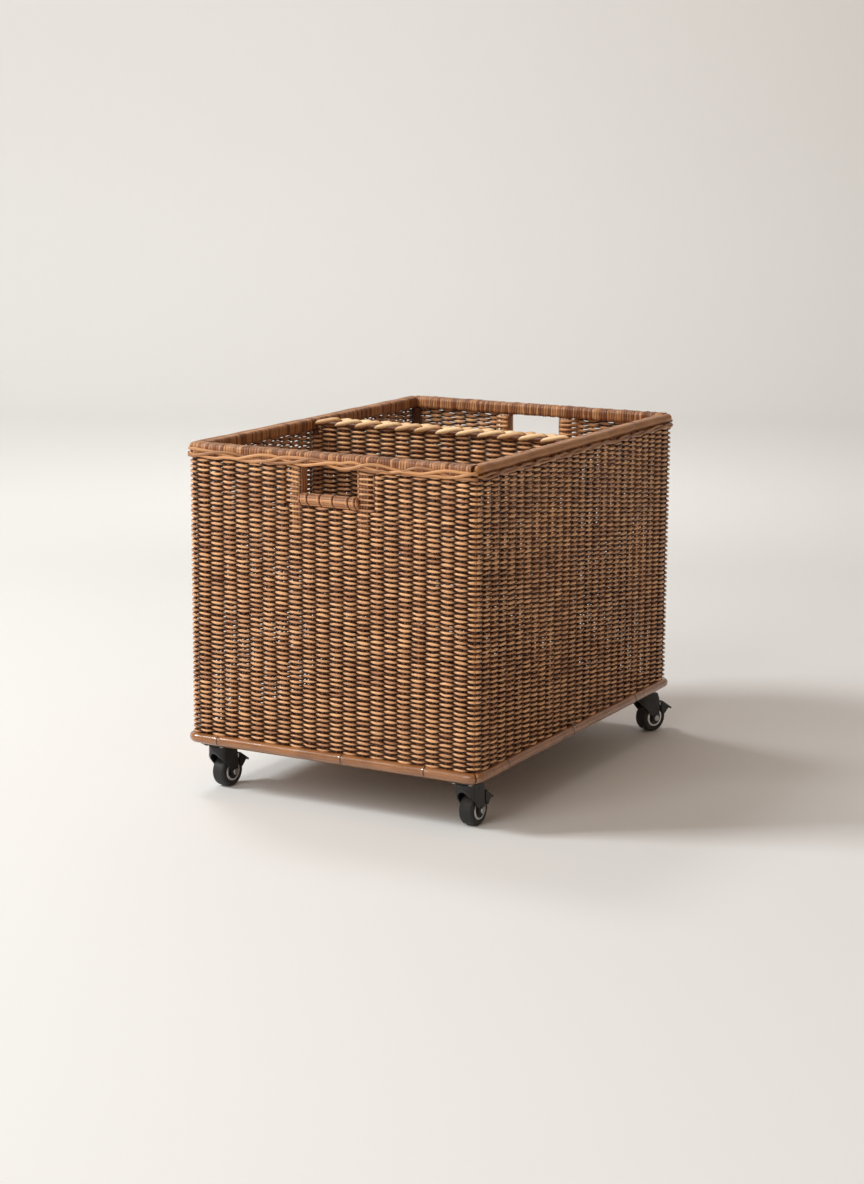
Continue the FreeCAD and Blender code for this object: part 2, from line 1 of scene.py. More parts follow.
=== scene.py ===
"""Looks of the rolling wicker trunk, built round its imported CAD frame. Lengths are in metres.

The weave is real: every weaver is a tube that passes before one stake and behind the next. Shapes are stacks
of closed rings: tubes along many paths at once, wound sections along the rails, and rings up the posts and
along the grip bars.
"""

import math

import bpy
import numpy as np
from mathutils import Matrix, Vector


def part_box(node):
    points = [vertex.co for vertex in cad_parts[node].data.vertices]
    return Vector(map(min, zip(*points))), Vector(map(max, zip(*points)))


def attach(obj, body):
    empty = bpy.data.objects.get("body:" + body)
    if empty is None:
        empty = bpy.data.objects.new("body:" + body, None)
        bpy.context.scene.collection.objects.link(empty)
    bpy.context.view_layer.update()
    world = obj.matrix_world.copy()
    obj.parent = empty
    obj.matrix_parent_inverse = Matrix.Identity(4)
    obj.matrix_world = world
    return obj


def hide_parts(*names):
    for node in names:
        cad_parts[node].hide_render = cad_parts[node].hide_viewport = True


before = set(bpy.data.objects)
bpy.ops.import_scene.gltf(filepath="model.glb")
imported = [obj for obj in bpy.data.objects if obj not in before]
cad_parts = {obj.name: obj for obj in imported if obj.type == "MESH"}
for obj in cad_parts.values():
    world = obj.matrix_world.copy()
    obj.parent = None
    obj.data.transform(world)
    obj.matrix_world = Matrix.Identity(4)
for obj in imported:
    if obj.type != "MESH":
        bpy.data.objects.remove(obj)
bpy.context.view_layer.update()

MM = 0.001
rng = np.random.default_rng(7)

# ---- places taken from the frame ----
HALF_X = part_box("woven_wall_right")[1].x
HALF_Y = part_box("woven_wall_rear")[1].y
WEAVE_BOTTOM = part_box("woven_wall_front")[0].z
RAIL_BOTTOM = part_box("rail_front")[0].z
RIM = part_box("rail_front")[1].z
RAIL_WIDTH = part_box("rail_front")[1].y + HALF_Y
BOARD_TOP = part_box("base_board")[1].z
HOLE_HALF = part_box("handle_post_front_right")[0].x
POST_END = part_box("handle_post_front_right")[1].x
POST_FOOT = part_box("handle_post_front_right")[0].z
BAR_LOW, BAR_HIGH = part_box("handle_bar_front")
BAR_RADIUS = (BAR_HIGH.z - BAR_LOW.z) / 2
BAR_Z = (BAR_HIGH.z + BAR_LOW.z) / 2
BRAID_LOW, BRAID_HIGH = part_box("divider_braid")
DIVIDER_Y = (BRAID_LOW.y + BRAID_HIGH.y) / 2
POLE_LOW, POLE_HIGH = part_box("base_pole_right")

# ---- the weave ----
STAKE_RADIUS = 2.25 * MM
STAKE_INSET = 6.25 * MM  # stake centres to the outer faces
CORNER = 18.0 * MM  # outer radius of the weave's upright corners
SHORT_SPACES, LONG_SPACES, DIVIDER_SPACES = 21, 26, 17
ROW = 3.9 * MM
SWING = 4.15 * MM  # weaver centres to the stake line
TILT = 0.28 * MM  # every float leans a little, one end down
WEAVER_DEPTH = 1.75 * MM  # half of a weaver, through the wall
FACE_SEGMENTS = 6  # along one space
SIDES = 6
ROWS = round((RAIL_BOTTOM - WEAVE_BOTTOM) / ROW)
WALL_STAKES = 2 * (SHORT_SPACES + LONG_SPACES)
SILL = BAR_Z - BAR_RADIUS - 0.5 * MM


# ---- makers: points in bulk, then one mesh ----
def unit(vectors):
    """Each vector divided by its length."""
    return vectors / np.maximum(np.linalg.norm(vectors, axis=-1, keepdims=True), 1e-12)


def ease(x):
    """The smooth step 3x² - 2x³ of x held between 0 and 1."""
    x = np.clip(x, 0.0, 1.0)
    return x * x * (3.0 - 2.0 * x)


def wander(knots, at, loop=False):
    """Random knots joined by half cosines: a fraction f past a knot, its value is eased into the next
    one's."""
    low = np.floor(at).astype(int)
    count = knots.shape[-1]
    a, b = (k % count if loop else k.clip(0, count - 1) for k in (low, low + 1))
    f = (1.0 - np.cos(np.pi * (at - low))) / 2.0
    return knots[..., a] * (1.0 - f) + knots[..., b] * f


def mesh_piece(name, points, groups, material, slot, stands_for=(), body="basket", **values):
    """One object from its points and its groups of equal-sided faces, each with a flag for smooth shading."""
    points = points.reshape(-1, 3)
    loops = np.concatenate([faces.ravel() for faces, _ in groups]).astype(np.int32)
    sizes = np.concatenate([np.full(len(faces), faces.shape[1]) for faces, _ in groups]).astype(np.int32)
    smooth = np.concatenate([np.full(len(faces), flag) for faces, flag in groups])
    mesh = bpy.data.meshes.new(name)
    mesh.vertices.add(len(points))
    mesh.vertices.foreach_set("co", points.astype(np.float32).ravel())
    mesh.loops.add(len(loops))
    mesh.loops.foreach_set("vertex_index", loops)
    mesh.polygons.add(len(sizes))
    mesh.polygons.foreach_set("loop_start", np.concatenate([[0], np.cumsum(sizes)[:-1]]).astype(np.int32))
    mesh.polygons.foreach_set("use_smooth", smooth)
    for key, field in values.items():
        data = np.broadcast_to(field, points.shape[0] if np.ndim(field) == 0 else np.shape(field))
        mesh.attributes.new(key, "FLOAT", "POINT").data.foreach_set("value", data.astype(np.float32).ravel())
    mesh.update(calc_edges=True)
    mesh.materials.append(material)
    piece = bpy.data.objects.new(name, mesh)
    bpy.context.scene.collection.objects.link(piece)
    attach(piece, body)
    if stands_for:
        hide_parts(*stands_for)


def skin(shape):
    """Faces of stacked closed rings, indexed [tube, ring, point]: quads between rings, a flat cap at each
    end."""
    index = np.arange(int(np.prod(shape))).reshape(shape)
    after = np.roll(index, -1, axis=2)
    quads = np.stack([index[:, :-1], after[:, :-1], after[:, 1:], index[:, 1:]], axis=-1).reshape(-1, 4)
    caps = np.concatenate([index[:, 0, ::-1], index[:, -1]])
    return [(quads, True), (caps, False)]


def rings(paths, across):
    """Sideways and upward directions at every point of many paths, sideways being nearest to `across`."""
    tangent = unit(np.gradient(paths, axis=1))
    across = np.broadcast_to(across, paths.shape)
    side = unit(across - (across * tangent).sum(-1, keepdims=True) * tangent)
    return side, np.cross(tangent, side)


def tubes(paths, across, wide, tall, sides=SIDES):
    """Many tubes at once: a ring is its path point + wide·cos(t) sideways + tall·sin(t) upwards, for t from 0
    to a full turn."""
    side, up = rings(paths, across)
    t = 2.0 * np.pi * (np.arange(sides) + 0.5) / sides
    wide = np.broadcast_to(wide, paths.shape[:2])[..., None, None]
    tall = np.broadcast_to(tall, paths.shape[:2])[..., None, None]
    sideways = wide * np.cos(t)[:, None] * side[:, :, None]
    upwards = tall * np.sin(t)[:, None] * up[:, :, None]
    points = paths[:, :, None] + sideways + upwards
    return points, skin(points.shape[:3])


def join(parts):
    """Several (points, groups) put one after another as one, with their indices moved on."""
    points, quads, caps, start = [], [], [], 0
    for ring_points, groups in parts:
        points.append(ring_points.reshape(-1, 3))
        quads.append(groups[0][0] + start)
        caps.append(groups[1][0] + start)
        start += points[-1].shape[0]
    return np.concatenate(points), [(np.concatenate(quads), True), (np.concatenate(caps), False)]


class Wall:
    """A run of weave: straight for `straight` each side of its middle, then bent inwards on arcs of radius
    `bend`."""

    def __init__(self, along, out, straight, plane, bend, stakes, first):
        self.along, self.out = np.array(along + (0.0,)), np.array(out + (0.0,))
        self.straight, self.plane, self.bend = straight, plane, bend
        self.stakes, self.first = stakes, first

    def point(self, run, lift, z):
        """Place at `run` from the middle, `lift` out from the stake line, height z. In the bends both
        turn."""
        run, lift, z = np.broadcast_arrays(run, lift, z)
        turn = np.clip(np.abs(run) - self.straight, 0.0, None) / max(self.bend, 1e-6)
        reach = self.bend + lift
        along = np.clip(run, -self.straight, self.straight) + np.sign(run) * reach * np.sin(turn)
        out = self.plane - self.bend + reach * np.cos(turn)
        place = along[..., None] * self.along + out[..., None] * self.out
        place[..., 2] = z
        return place

    def moved(self, offset, bend):
        """The same wall followed `offset` further out, with another bend radius at its corners."""
        shift = self.bend - bend + offset
        directions = tuple(self.along[:2]), tuple(self.out[:2])
        return Wall(*directions, self.straight + shift, self.plane + offset, bend, None, 0)

    def corner_run(self):
        """The run from the middle to the 45 degree point of the corner."""
        return self.straight + self.bend * np.pi / 4


def basket_wall(side):
    """One of the four walls, with its stakes' places along it. The last stake at each end is the corner's."""
    turns = {"front": 0, "right": 1, "rear": 2, "left": 3}[side]
    along = (round(math.cos(turns * math.pi / 2)), round(math.sin(turns * math.pi / 2)))
    half, plane, spaces = (HALF_X, HALF_Y, SHORT_SPACES) if turns % 2 == 0 else (HALF_Y, HALF_X, LONG_SPACES)
    first = (0, SHORT_SPACES, SHORT_SPACES + LONG_SPACES, 2 * SHORT_SPACES + LONG_SPACES)[turns]
    bend = CORNER - STAKE_INSET
    stakes = np.linspace(-1.0, 1.0, spaces + 1) * (half - STAKE_INSET)
    stakes[[0, -1]] = np.array([-1.0, 1.0]) * (half - CORNER + bend * np.pi / 4)
    return Wall(along, (along[1], -along[0]), half - CORNER, plane - STAKE_INSET, bend, stakes, first)


WALLS = {side: basket_wall(side) for side in ("front", "right", "rear", "left")}

# ---- the wander of the weave, shared by all walls so that they meet at the corners ----
HEIGHT_WANDER = rng.normal(0.0, 0.42 * MM, (ROWS, 2 * WALL_STAKES))
ROW_GAUGE = rng.normal(1.0, 0.07, (ROWS, 1))
SWELL = rng.normal(1.0, 0.06, (ROWS, 2 * WALL_STAKES))
ROW_TINT = rng.uniform(0.0, 1.0, (ROWS, 1))
FLOAT_TINT = rng.uniform(0.0, 1.0, (ROWS, WALL_STAKES))
LEAN_SIZE = rng.normal(0.0, 0.8 * MM, (2, WALL_STAKES))
LEAN_PHASE = rng.uniform(0.0, 2.0 * np.pi, (2, WALL_STAKES))


def stake_lean(stake, z):
    """How far a stake wanders along its wall at height z: two slow sine waves. Corner stakes stand
    straight."""
    height = (z - WEAVE_BOTTOM) / (RAIL_BOTTOM - WEAVE_BOTTOM)
    turns = [np.sin(np.pi * (k + 1.3) * height + LEAN_PHASE[k][stake]) for k in (0, 1)]
    waves = sum(LEAN_SIZE[k][stake] * turns[k] for k in (0, 1))
    corners = [wall.first for wall in WALLS.values()]
    return np.where(np.isin(stake, corners), 0.0, waves) * ease(height / 0.08)


def stake_line(wall, at, z):
    """Run at stake number `at`, which may lie between two stakes, with their lean. It carries on past the
    ends."""
    low = np.clip(np.floor(at).astype(int), 0, len(wall.stakes) - 2)
    f = at - low
    runs = [wall.stakes[k] + stake_lean((wall.first + k) % WALL_STAKES, z) for k in (low, low + 1)]
    return runs[0] * (1.0 - f) + runs[1] * f


def wander_rows(knots, rows, at):
    """The wander of each row at its own stake numbers, going round the whole basket."""
    return wander(knots[rows], at[0], loop=True)


def row_height(rows):
    """Height of each row's middle, the rows being spread evenly from the weave's foot to the rail."""
    return WEAVE_BOTTOM + (rows + 0.5) * (RAIL_BOTTOM - WEAVE_BOTTOM) / ROWS


def float_lift(wave):
    """Lift off the stake line: SWING times w · (1.32 - 0.32 w²), a cosine w flattened at its peaks."""
    return SWING * wave * (1.32 - 0.32 * wave**2)


def float_height(wave):
    """Half a weaver's height: 1.86 mm where it crosses, growing with w² to 2.2 mm outside and 2.96 mm
    inside."""
    return (1.86 + np.where(wave > 0, 0.34, 1.1) * wave**2) * MM


def float_tint(row, own):
    """Tint of a float, partly its row's and partly its own."""
    return 0.3 + 0.2 * row + 0.3 * own


def weavers(wall, rows, at):
    """Weavers as grids of run, lift, z, half height, tint and crown. The lift changes sign from stake to
    stake and from row to row, and each float leans and wanders in height. `at` holds stake numbers along
    the wall."""
    at = at[None, :]
    stake = (wall.first + at) % WALL_STAKES
    sign = 1 - 2 * (rows[:, None] % 2)
    wave = np.cos(np.pi * (wall.first + at)) * sign
    tilt = -TILT * np.sin(np.pi * (wall.first + at)) * sign
    z = row_height(rows[:, None]) + tilt + wander_rows(HEIGHT_WANDER, rows, 2.0 * stake)
    lift = float_lift(wave)
    run = stake_line(wall, at, z)
    gauge = ROW_GAUGE[rows] * wander_rows(SWELL, rows, 2.0 * stake)
    tint = float_tint(ROW_TINT[rows], FLOAT_TINT[rows][:, np.rint(stake[0]).astype(int) % WALL_STAKES])
    tall = float_height(wave) * gauge
    return [run, lift, z, tall, tint, 0.0 * z]


def woven(wall, strands):
    """Tubes and attributes of weavers given as [run, lift, z, tall, tint, crown] grids."""
    run, lift, z, tall, tint, crown = strands
    paths = wall.point(run, lift, z)
    outward = unit(wall.point(run, lift + MM, z) - paths)
    points, groups = tubes(paths, outward, WEAVER_DEPTH, tall)
    round_it = np.cos(2.0 * np.pi * (np.arange(points.shape[2]) + 0.5) / points.shape[2])
    # Crown is how far a point lies out from the stake line; low crown gets painted shade, for the hollows of
    # the weave.
    depth = np.abs(lift[..., None] + WEAVER_DEPTH * round_it) / (SWING + WEAVER_DEPTH)
    crown = np.clip(np.maximum(depth, crown[..., None] * np.abs(round_it)), 0.0, 1.0)
    return points, groups, np.repeat(tint, points.shape[2], axis=1).ravel(), crown.ravel()


def weave_piece(name, wall, batches, stands_for):
    """One piece of weave from several batches of weavers."""
    made = [woven(wall, batch) for batch in batches]
    points, groups = join([(m[0], m[1]) for m in made])
    tint, crown = (np.concatenate([m[k] for m in made]) for k in (2, 3))
    mesh_piece(name, points, groups, MATERIAL["weaver"], "rattan_weave", stands_for, tint=tint, crown=crown)


POST_LOW, POST_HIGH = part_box("handle_post_front_right")
POST_OUT = -POST_LOW.y - (HALF_Y - STAKE_INSET)  # lift of the post's outer and inner faces
POST_IN = -POST_HIGH.y - (HALF_Y - STAKE_INSET)
OVER_POST = 1.9 * MM  # weaver centres off those faces
TUCK = 1.5 * MM  # how deep a weaver's end goes in
SLANT = 4.5 * MM


def beside_hole(wall, rows, hand):
    """Weavers that stop at the hand hole. Past the last stake they run over the post's outer or inner face
    and end inside it, or inside the grip bar where they are level with it. On one side they fan out in
    height."""
    spaces = SHORT_SPACES
    last = spaces // 2 - 3
    at = np.linspace(0.0, last + 1.0, (last + 1) * FACE_SEGMENTS + 1)
    at = at if hand < 0 else spaces - at
    run, lift, z, tall, tint, crown = weavers(wall, rows, at)
    past = np.abs(at - (0 if hand < 0 else spaces)) - last
    over = ease(past / 0.45)[None, :]
    by_bar = z < BAR_Z + BAR_RADIUS
    outer = lift[:, -1:] > 0
    start = hand * (spaces / 2 - last) * 2 * (HALF_X - STAKE_INSET) / spaces
    end = hand * np.where(by_bar, -BAR_LOW.x - TUCK, HOLE_HALF + 3.0 * MM)
    run = np.where(past > 0, start + (end - start) * np.clip(past, 0, 1), run)
    tucked = TUCK * ease((past - 0.85) / 0.15)
    over_post = np.where(outer, POST_OUT + OVER_POST - tucked, POST_IN - OVER_POST + tucked)
    lift = np.where(past > 0, lift * (1 - over) + over_post * over, lift)
    if hand < 0:
        fan = SLANT * np.clip(past, 0, 1) * (z - BAR_Z) / (RAIL_BOTTOM - BAR_Z)
        z = z - np.where(by_bar, 0.0, fan)
    # Crown for the strands over the post: high on their sides, lower at the tucked ends, which get painted
    # shade.
    crown = over * (1 - 0.6 * ease((past - 0.8) / 0.2)) + 0.0 * z
    return [run, lift, z, tall, tint, crown]


def whole_rows(wall, rows, spaces):
    """Weavers from corner to corner."""
    return weavers(wall, rows, np.linspace(0.0, spaces, spaces * FACE_SEGMENTS + 1))


def make_walls():
    """The four woven walls. The long ones are two pieces each, because of their size."""
    rows = np.arange(ROWS)
    heights = row_height(rows)
    for side in ("front", "rear"):
        wall = WALLS[side]
        batches = [whole_rows(wall, rows[heights < SILL], SHORT_SPACES)]
        upper = rows[heights >= SILL]
        batches += [beside_hole(wall, upper, hand) for hand in (-1, 1)]
        weave_piece("woven_wall_" + side, wall, batches, ["woven_wall_" + side])
    for side in ("left", "right"):
        halves = {"lower": rows[: ROWS // 2], "upper": rows[ROWS // 2 :]}
        for part, some in halves.items():
            name = "woven_wall_" + side
            weave_piece(name + "_" + part, WALLS[side], [whole_rows(WALLS[side], some, LONG_SPACES)], [name])


def make_stakes():
    """Upright stakes, a tube each, with the lean the weavers follow. They end in the rail or under the
    hole."""
    for side, wall in WALLS.items():
        number = np.arange(len(wall.stakes) - 1)
        run = wall.stakes[:-1, None]
        top = np.full(run.shape, RAIL_BOTTOM + 5.0 * MM)
        if side in ("front", "rear"):
            top = np.where(np.abs(run) < POST_END, POST_FOOT, top)
            top = np.where(np.abs(run) < HOLE_HALF, SILL, top)
        z = BOARD_TOP + (top - BOARD_TOP) * np.linspace(0.0, 1.0, 30)
        run = run + stake_lean((wall.first + number)[:, None], z)
        paths = wall.point(run, 0.0 * z, z)
        points, groups = tubes(paths, wall.out, STAKE_RADIUS, STAKE_RADIUS)
        tint = np.broadcast_to(rng.uniform(0, 1, (len(run), 1, 1)), points.shape[:3])
        name = "wall_stakes_" + side
        tint = tint.ravel()
        mesh_piece(name, points, groups, MATERIAL["stake"], "rattan_stake", ["wall_stakes"], tint=tint)


# ---- rim, borders and poles ----
def border_strands(name, wall, count, radius, middle, rise, lift, lay, wave_length):
    """Loosely twisted strands: strand k has z = middle + rise·sin(p) and lift + lay·cos(p), where p is the
    run turned into an angle, moved on by k/count of a turn and by the strand's own slow wander."""
    end = wall.corner_run()
    run = np.linspace(-end, end, int(2 * end / (5.0 * MM)))
    place = run / end + 1.0
    drift = wander(rng.normal(0.0, 0.55, (count, 12)), place * 5.4)
    phase = 2 * np.pi * (run / wave_length + np.arange(count)[:, None] / count) + drift
    z = middle + rise * np.sin(phase) + wander(rng.normal(0.0, 0.5 * MM, (count, 40)), place * 19.0)
    paths = wall.point(np.broadcast_to(run, z.shape), lift + lay * np.cos(phase), z)
    gauge = 1.0 + wander(rng.normal(0.0, 0.05, (count, 30)), place * 14.0)
    outward = unit(wall.point(run, lift + MM, z) - wall.point(run, lift, z))
    points, groups = tubes(paths, outward, 0.85 * radius * gauge, radius * gauge, sides=10)
    tint = np.repeat((rng.uniform(0.2, 1.0, (count, 1)) + 0.0 * run)[..., None], 10, axis=2)
    mesh_piece(name, points, groups, MATERIAL["rope"], "rattan_rope", ["border_rope"], tint=tint.ravel())


SHORT_BORDER = {
    "count": 3,
    "radius": 2.5 * MM,
    "middle": 540.0 * MM,
    "rise": 5.2 * MM,
    "lift": 1.6 * MM,
    "lay": 1.1 * MM,
    "wave_length": 165 * MM,
}
LONG_BORDER = {
    "count": 2,
    "radius": 2.0 * MM,
    "middle": 537.0 * MM,
    "rise": 2.4 * MM,
    "lift": 1.4 * MM,
    "lay": 1.0 * MM,
    "wave_length": 120 * MM,
}


def make_borders():
    """Under the rim: a bold loose twist of three strands on the short walls, two thin ones on the long
    walls."""
    for side, wall in WALLS.items():
        edge = wall.moved(STAKE_INSET - 1.0 * MM, 17.0 * MM)
        border = SHORT_BORDER if side in ("front", "rear") else LONG_BORDER
        border_strands("border_rope_" + side, edge, **border)


def rounded_section(width, height, corner, count=28):
    """Points and outward directions, evenly spread anticlockwise round a rounded rectangle, from its right
    side."""
    straight = np.array([height - 2 * corner, width - 2 * corner] * 2)
    arc = corner * np.pi / 2
    total = straight.sum() + 4 * arc
    s = np.arange(count) * total / count
    points, normals = np.zeros((count, 2)), np.zeros((count, 2))
    start = 0.0
    for k in range(4):
        angle = k * np.pi / 2
        c, d = math.cos(angle), math.sin(angle)
        half_out = (width if k % 2 == 0 else height) / 2
        local = s - start
        on = (local >= 0) & (local < straight[k] + arc)
        bend = np.clip(local[on] - straight[k], 0, None) / corner
        along = np.clip(local[on], 0, straight[k]) - straight[k] / 2
        x = (half_out - corner) + corner * np.cos(bend)
        y = along + corner * np.sin(bend)
        nx, ny = np.cos(bend), np.sin(bend)
        points[on] = np.stack([x * c - y * d, x * d + y * c], axis=-1)
        normals[on] = np.stack([nx * c - ny * d, nx * d + ny * c], axis=-1)
        start += straight[k] + arc
    return points, normals


CANE_PITCH = 4.6 * MM  # one turn of the flat cane
CANE_UNEVEN = 0.15  # how much the turns differ in slant, in turns


def wound_bar(name, start, end, across, section, ridge):
    """A bar wound with flat cane: a section carried from start to end and pushed out by ridge·(1 - |saw|³),
    where saw runs from -1 to 1 over each turn. Turns differ a little in width, slant and tone."""
    start, end, across, up = (np.array(v, float) for v in (start, end, across, (0, 0, 1)))
    length = np.linalg.norm(end - start)
    turns = max(int(length / CANE_PITCH), 1)
    per_turn = 6
    outline, normal = section
    s = np.linspace(0.0, turns, turns * per_turn + 1)
    slant = wander(rng.normal(0.0, CANE_UNEVEN, turns + 2), s)
    along = s[:, None] + slant[:, None] * outline[None, :, 1] / (10 * MM)
    saw = 2.0 * (along - np.floor(along)) - 1.0
    height = ridge * (1.0 - np.abs(saw) ** 3) * (1.0 + 0.35 * wander(rng.normal(0, 1, turns + 2), s))[:, None]
    push = outline[None] + normal[None] * (height - ridge)[..., None]
    middle = start + (end - start) * (s / turns)[:, None]
    points = middle[:, None] + push[..., :1] * across + push[..., 1:] * up
    tint = rng.uniform(0, 1, turns + 2)[np.clip(along.astype(int), 0, turns + 1)]
    # Crown is low at each turn's edges: painted shade in the grooves between turns.
    values = {"tint": tint.ravel(), "crown": (1.0 - np.abs(saw) ** 4).ravel()}
    mesh_piece(name, points, skin((1,) + points.shape[:2]), MATERIAL["cane"], "cane_wrap", [name], **values)


def make_rails():
    """Rails wound with cane: the short ones whole, the long ones under their caps."""
    for side, sy in (("front", -1), ("rear", 1)):
        low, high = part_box("rail_" + side)
        y, z = (low.y + high.y) / 2, (low.z + high.z) / 2
        section = rounded_section(high.y - low.y, high.z - low.z, 5.5 * MM, 36)
        ends = [(sy * x, y, z) for x in (14.0 * MM - HALF_X, HALF_X - 14.0 * MM)]
        wound_bar("rail_" + side, *ends[::-1], (0, sy, 0), section, 1.0 * MM)
    for side in ("left", "right"):
        low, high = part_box("rail_" + side)
        inner = 1.0 if side == "left" else -1.0
        x, z = (low.x + high.x) / 2 + inner * 3.0 * MM, (low.z + RIM - MM) / 2
        section = rounded_section(high.x - low.x - 6.0 * MM, RIM - MM - low.z, 4.5 * MM, 32)
        ends = [(x, y, z) for y in (HALF_Y - RAIL_WIDTH, RAIL_WIDTH - HALF_Y)]
        wound_bar("rail_" + side, *ends, (1, 0, 0), section, 0.6 * MM)


def make_caps():
    """The smooth pole on each long rail's outer upper edge: a tube with a slightly wandering line and
    girth."""
    radius = 7.4 * MM
    for side, sx in (("left", -1), ("right", 1)):
        low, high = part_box("rail_cap_" + side)
        y = np.linspace(low.y + 5.0 * MM, high.y - 5.0 * MM, 150)
        knots = (y - low.y) / (high.y - low.y) * 19.0
        to_end = np.minimum(y - y[0], y[-1] - y)
        ends = np.sqrt(np.clip(1.0 - np.clip(1.0 - to_end / radius, 0, 1) ** 2, 0.16, 1.0))
        thick = (radius + wander(rng.normal(0, 0.18 * MM, 20), knots)) * ends
        x = sx * (HALF_X - radius - 1.2 * MM) + wander(rng.normal(0, 0.3 * MM, 20), knots)
        z = RIM - radius - 0.2 * MM + wander(rng.normal(0, 0.2 * MM, 20), knots)
        path = np.stack([x, y, z], axis=-1)[None]
        points, groups = tubes(path, (1.0, 0.0, 0.0), thick[None], thick[None], 20)
        name = "rail_cap_" + side
        mesh_piece(name, points, groups, MATERIAL["cap"], "rattan_cap", [name])


def make_posts():
    """Hand-hold posts bound lengthwise with cane: grooves run down their four faces."""
    for end in ("front", "rear"):
        for hand in ("left", "right"):
            name = "handle_post_%s_%s" % (end, hand)
            low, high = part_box(name)
            width, depth = high.x - low.x, high.y - low.y
            outline, normal = rounded_section(width, depth, 2.5 * MM, 72)
            around = np.arange(72) * 12 / 72
            groove = 0.5 * MM * np.abs(2 * (around % 1.0) - 1.0) ** 3
            z = np.linspace(low.z, high.z, 24)
            push = outline - normal * groove[:, None]
            bow = wander(rng.normal(0, 0.25 * MM, 8), np.linspace(0, 7, 24))
            x = (low.x + high.x) / 2 + push[None, :, 0] + bow[:, None]
            y = (low.y + high.y) / 2 + push[None, :, 1] + 0.0 * bow[:, None]
            points = np.stack([x, y, np.broadcast_to(z[:, None], x.shape)], axis=-1)
            tint = np.broadcast_to(rng.uniform(0, 1, 12)[around.astype(int)], x.shape)
            # Crown is low in the grooves: painted shade there.
            crown = np.broadcast_to(1.0 - np.abs(2 * (around % 1.0) - 1.0) ** 4, x.shape)
            values = {"tint": tint.ravel(), "crown": crown.ravel()}
            mesh_piece(name, points, skin((1,) + x.shape), MATERIAL["cane"], "cane_wrap", [name], **values)


RING_PLACES = np.array([-48.5, -35.0, -13.0, 9.5, 36.0, 47.5]) * MM
BUNDLE = 11  # strands round the grip bar


def make_grip_bars():
    """Grip bars: radius = the bar's - a groove at each binding - the dips between the lengthwise strands."""
    for end in ("front", "rear"):
        low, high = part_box("handle_bar_" + end)
        y = (low.y + high.y) / 2
        x = np.linspace(low.x, high.x, 190)
        t = 2 * np.pi * np.arange(66) / 66
        lean = 1.2 * MM * np.cos(t)[None, :]
        gap = np.abs(x[:, None, None] + lean[..., None] - RING_PLACES[None, None]).min(axis=-1)
        groove = np.exp(-((gap / (1.25 * MM)) ** 2))
        collar = np.exp(-(((gap - 3.0 * MM) / (1.4 * MM)) ** 2))
        between = np.abs(np.sin(BUNDLE * t / 2))[None, :]
        radius = BAR_RADIUS - 1.3 * MM * groove + 0.25 * MM * collar
        radius = radius - 0.9 * MM * (1 - between) ** 2 * (1 - collar)
        radius = radius * (1 - 0.25 * ease((np.abs(x) - high.x + 3 * MM) / (3 * MM)))[:, None]
        along = np.broadcast_to(x[:, None], radius.shape)
        points = np.stack([along, y + radius * np.sin(t), BAR_Z + radius * np.cos(t)], axis=-1)
        tint = 0.35 + 0.65 * rng.uniform(0, 1, BUNDLE)[(np.arange(66) * BUNDLE // 66)][None, :] + 0.0 * radius
        # Crown is low in the binding grooves and the dips between strands: painted shade there.
        crown = (1.0 - groove) * (1.0 - 0.7 * (1 - between) ** 2 * (1 - collar))
        name = "handle_bar_" + end
        values = {"tint": tint[:, ::-1].ravel(), "crown": crown[:, ::-1].ravel()}
        faces = skin((1,) + radius.shape)
        mesh_piece(name, points[:, ::-1], faces, MATERIAL["cane"], "cane_wrap", [name], **values)


NODES = {  # places of the pole's nodes along each side, in millimetres from its middle
    "front": [-200.0, 24.0, 168.0],
    "right": [-262.0, -31.0, 214.0],
    "rear": [-140.0, 92.0],
    "left": [-228.0, 60.0, 301.0],
}


def make_base_poles():
    """The pole round the foot: radius 8 mm, swelling in a narrow ring with a fine groove at each node."""
    radius = (POLE_HIGH.z - POLE_LOW.z) / 2
    z = (POLE_HIGH.z + POLE_LOW.z) / 2
    for side, wall in WALLS.items():
        line = wall.moved(POLE_HIGH.x - radius - (HALF_X - STAKE_INSET), 14.0 * MM)
        end = line.corner_run()
        nodes = np.array(NODES[side]) * MM
        close = (nodes[:, None] + np.linspace(-6.0, 6.0, 25)[None, :] * MM).ravel()
        run = np.unique(np.concatenate([np.linspace(-end, end, 150), close]))
        off = np.abs(run[:, None] - nodes[None, :]).min(axis=1)
        swell = 0.7 * MM * np.exp(-((off / (2.6 * MM)) ** 2)) - 0.9 * MM * np.exp(-((off / (0.7 * MM)) ** 2))
        thick = radius + swell + wander(rng.normal(0, 0.12 * MM, 24), (run / end + 1) * 11.0)
        thick[[0, -1]] = radius
        sag = wander(rng.normal(0, 0.25 * MM, 16), (run / end + 1) * 7.0)
        sag = sag * ease((end - np.abs(run)) / (30 * MM))
        path = line.point(run, 0.0, z + sag)[None]
        points, groups = tubes(path, (0.0, 0.0, 1.0), thick[None], thick[None], 20)
        ring = np.repeat(np.exp(-((off / (1.3 * MM)) ** 2))[:, None], 20, axis=1)
        name = "base_pole_" + side
        mesh_piece(name, points, groups, MATERIAL["pole"], "polished_pole", [name], ring=ring.ravel())


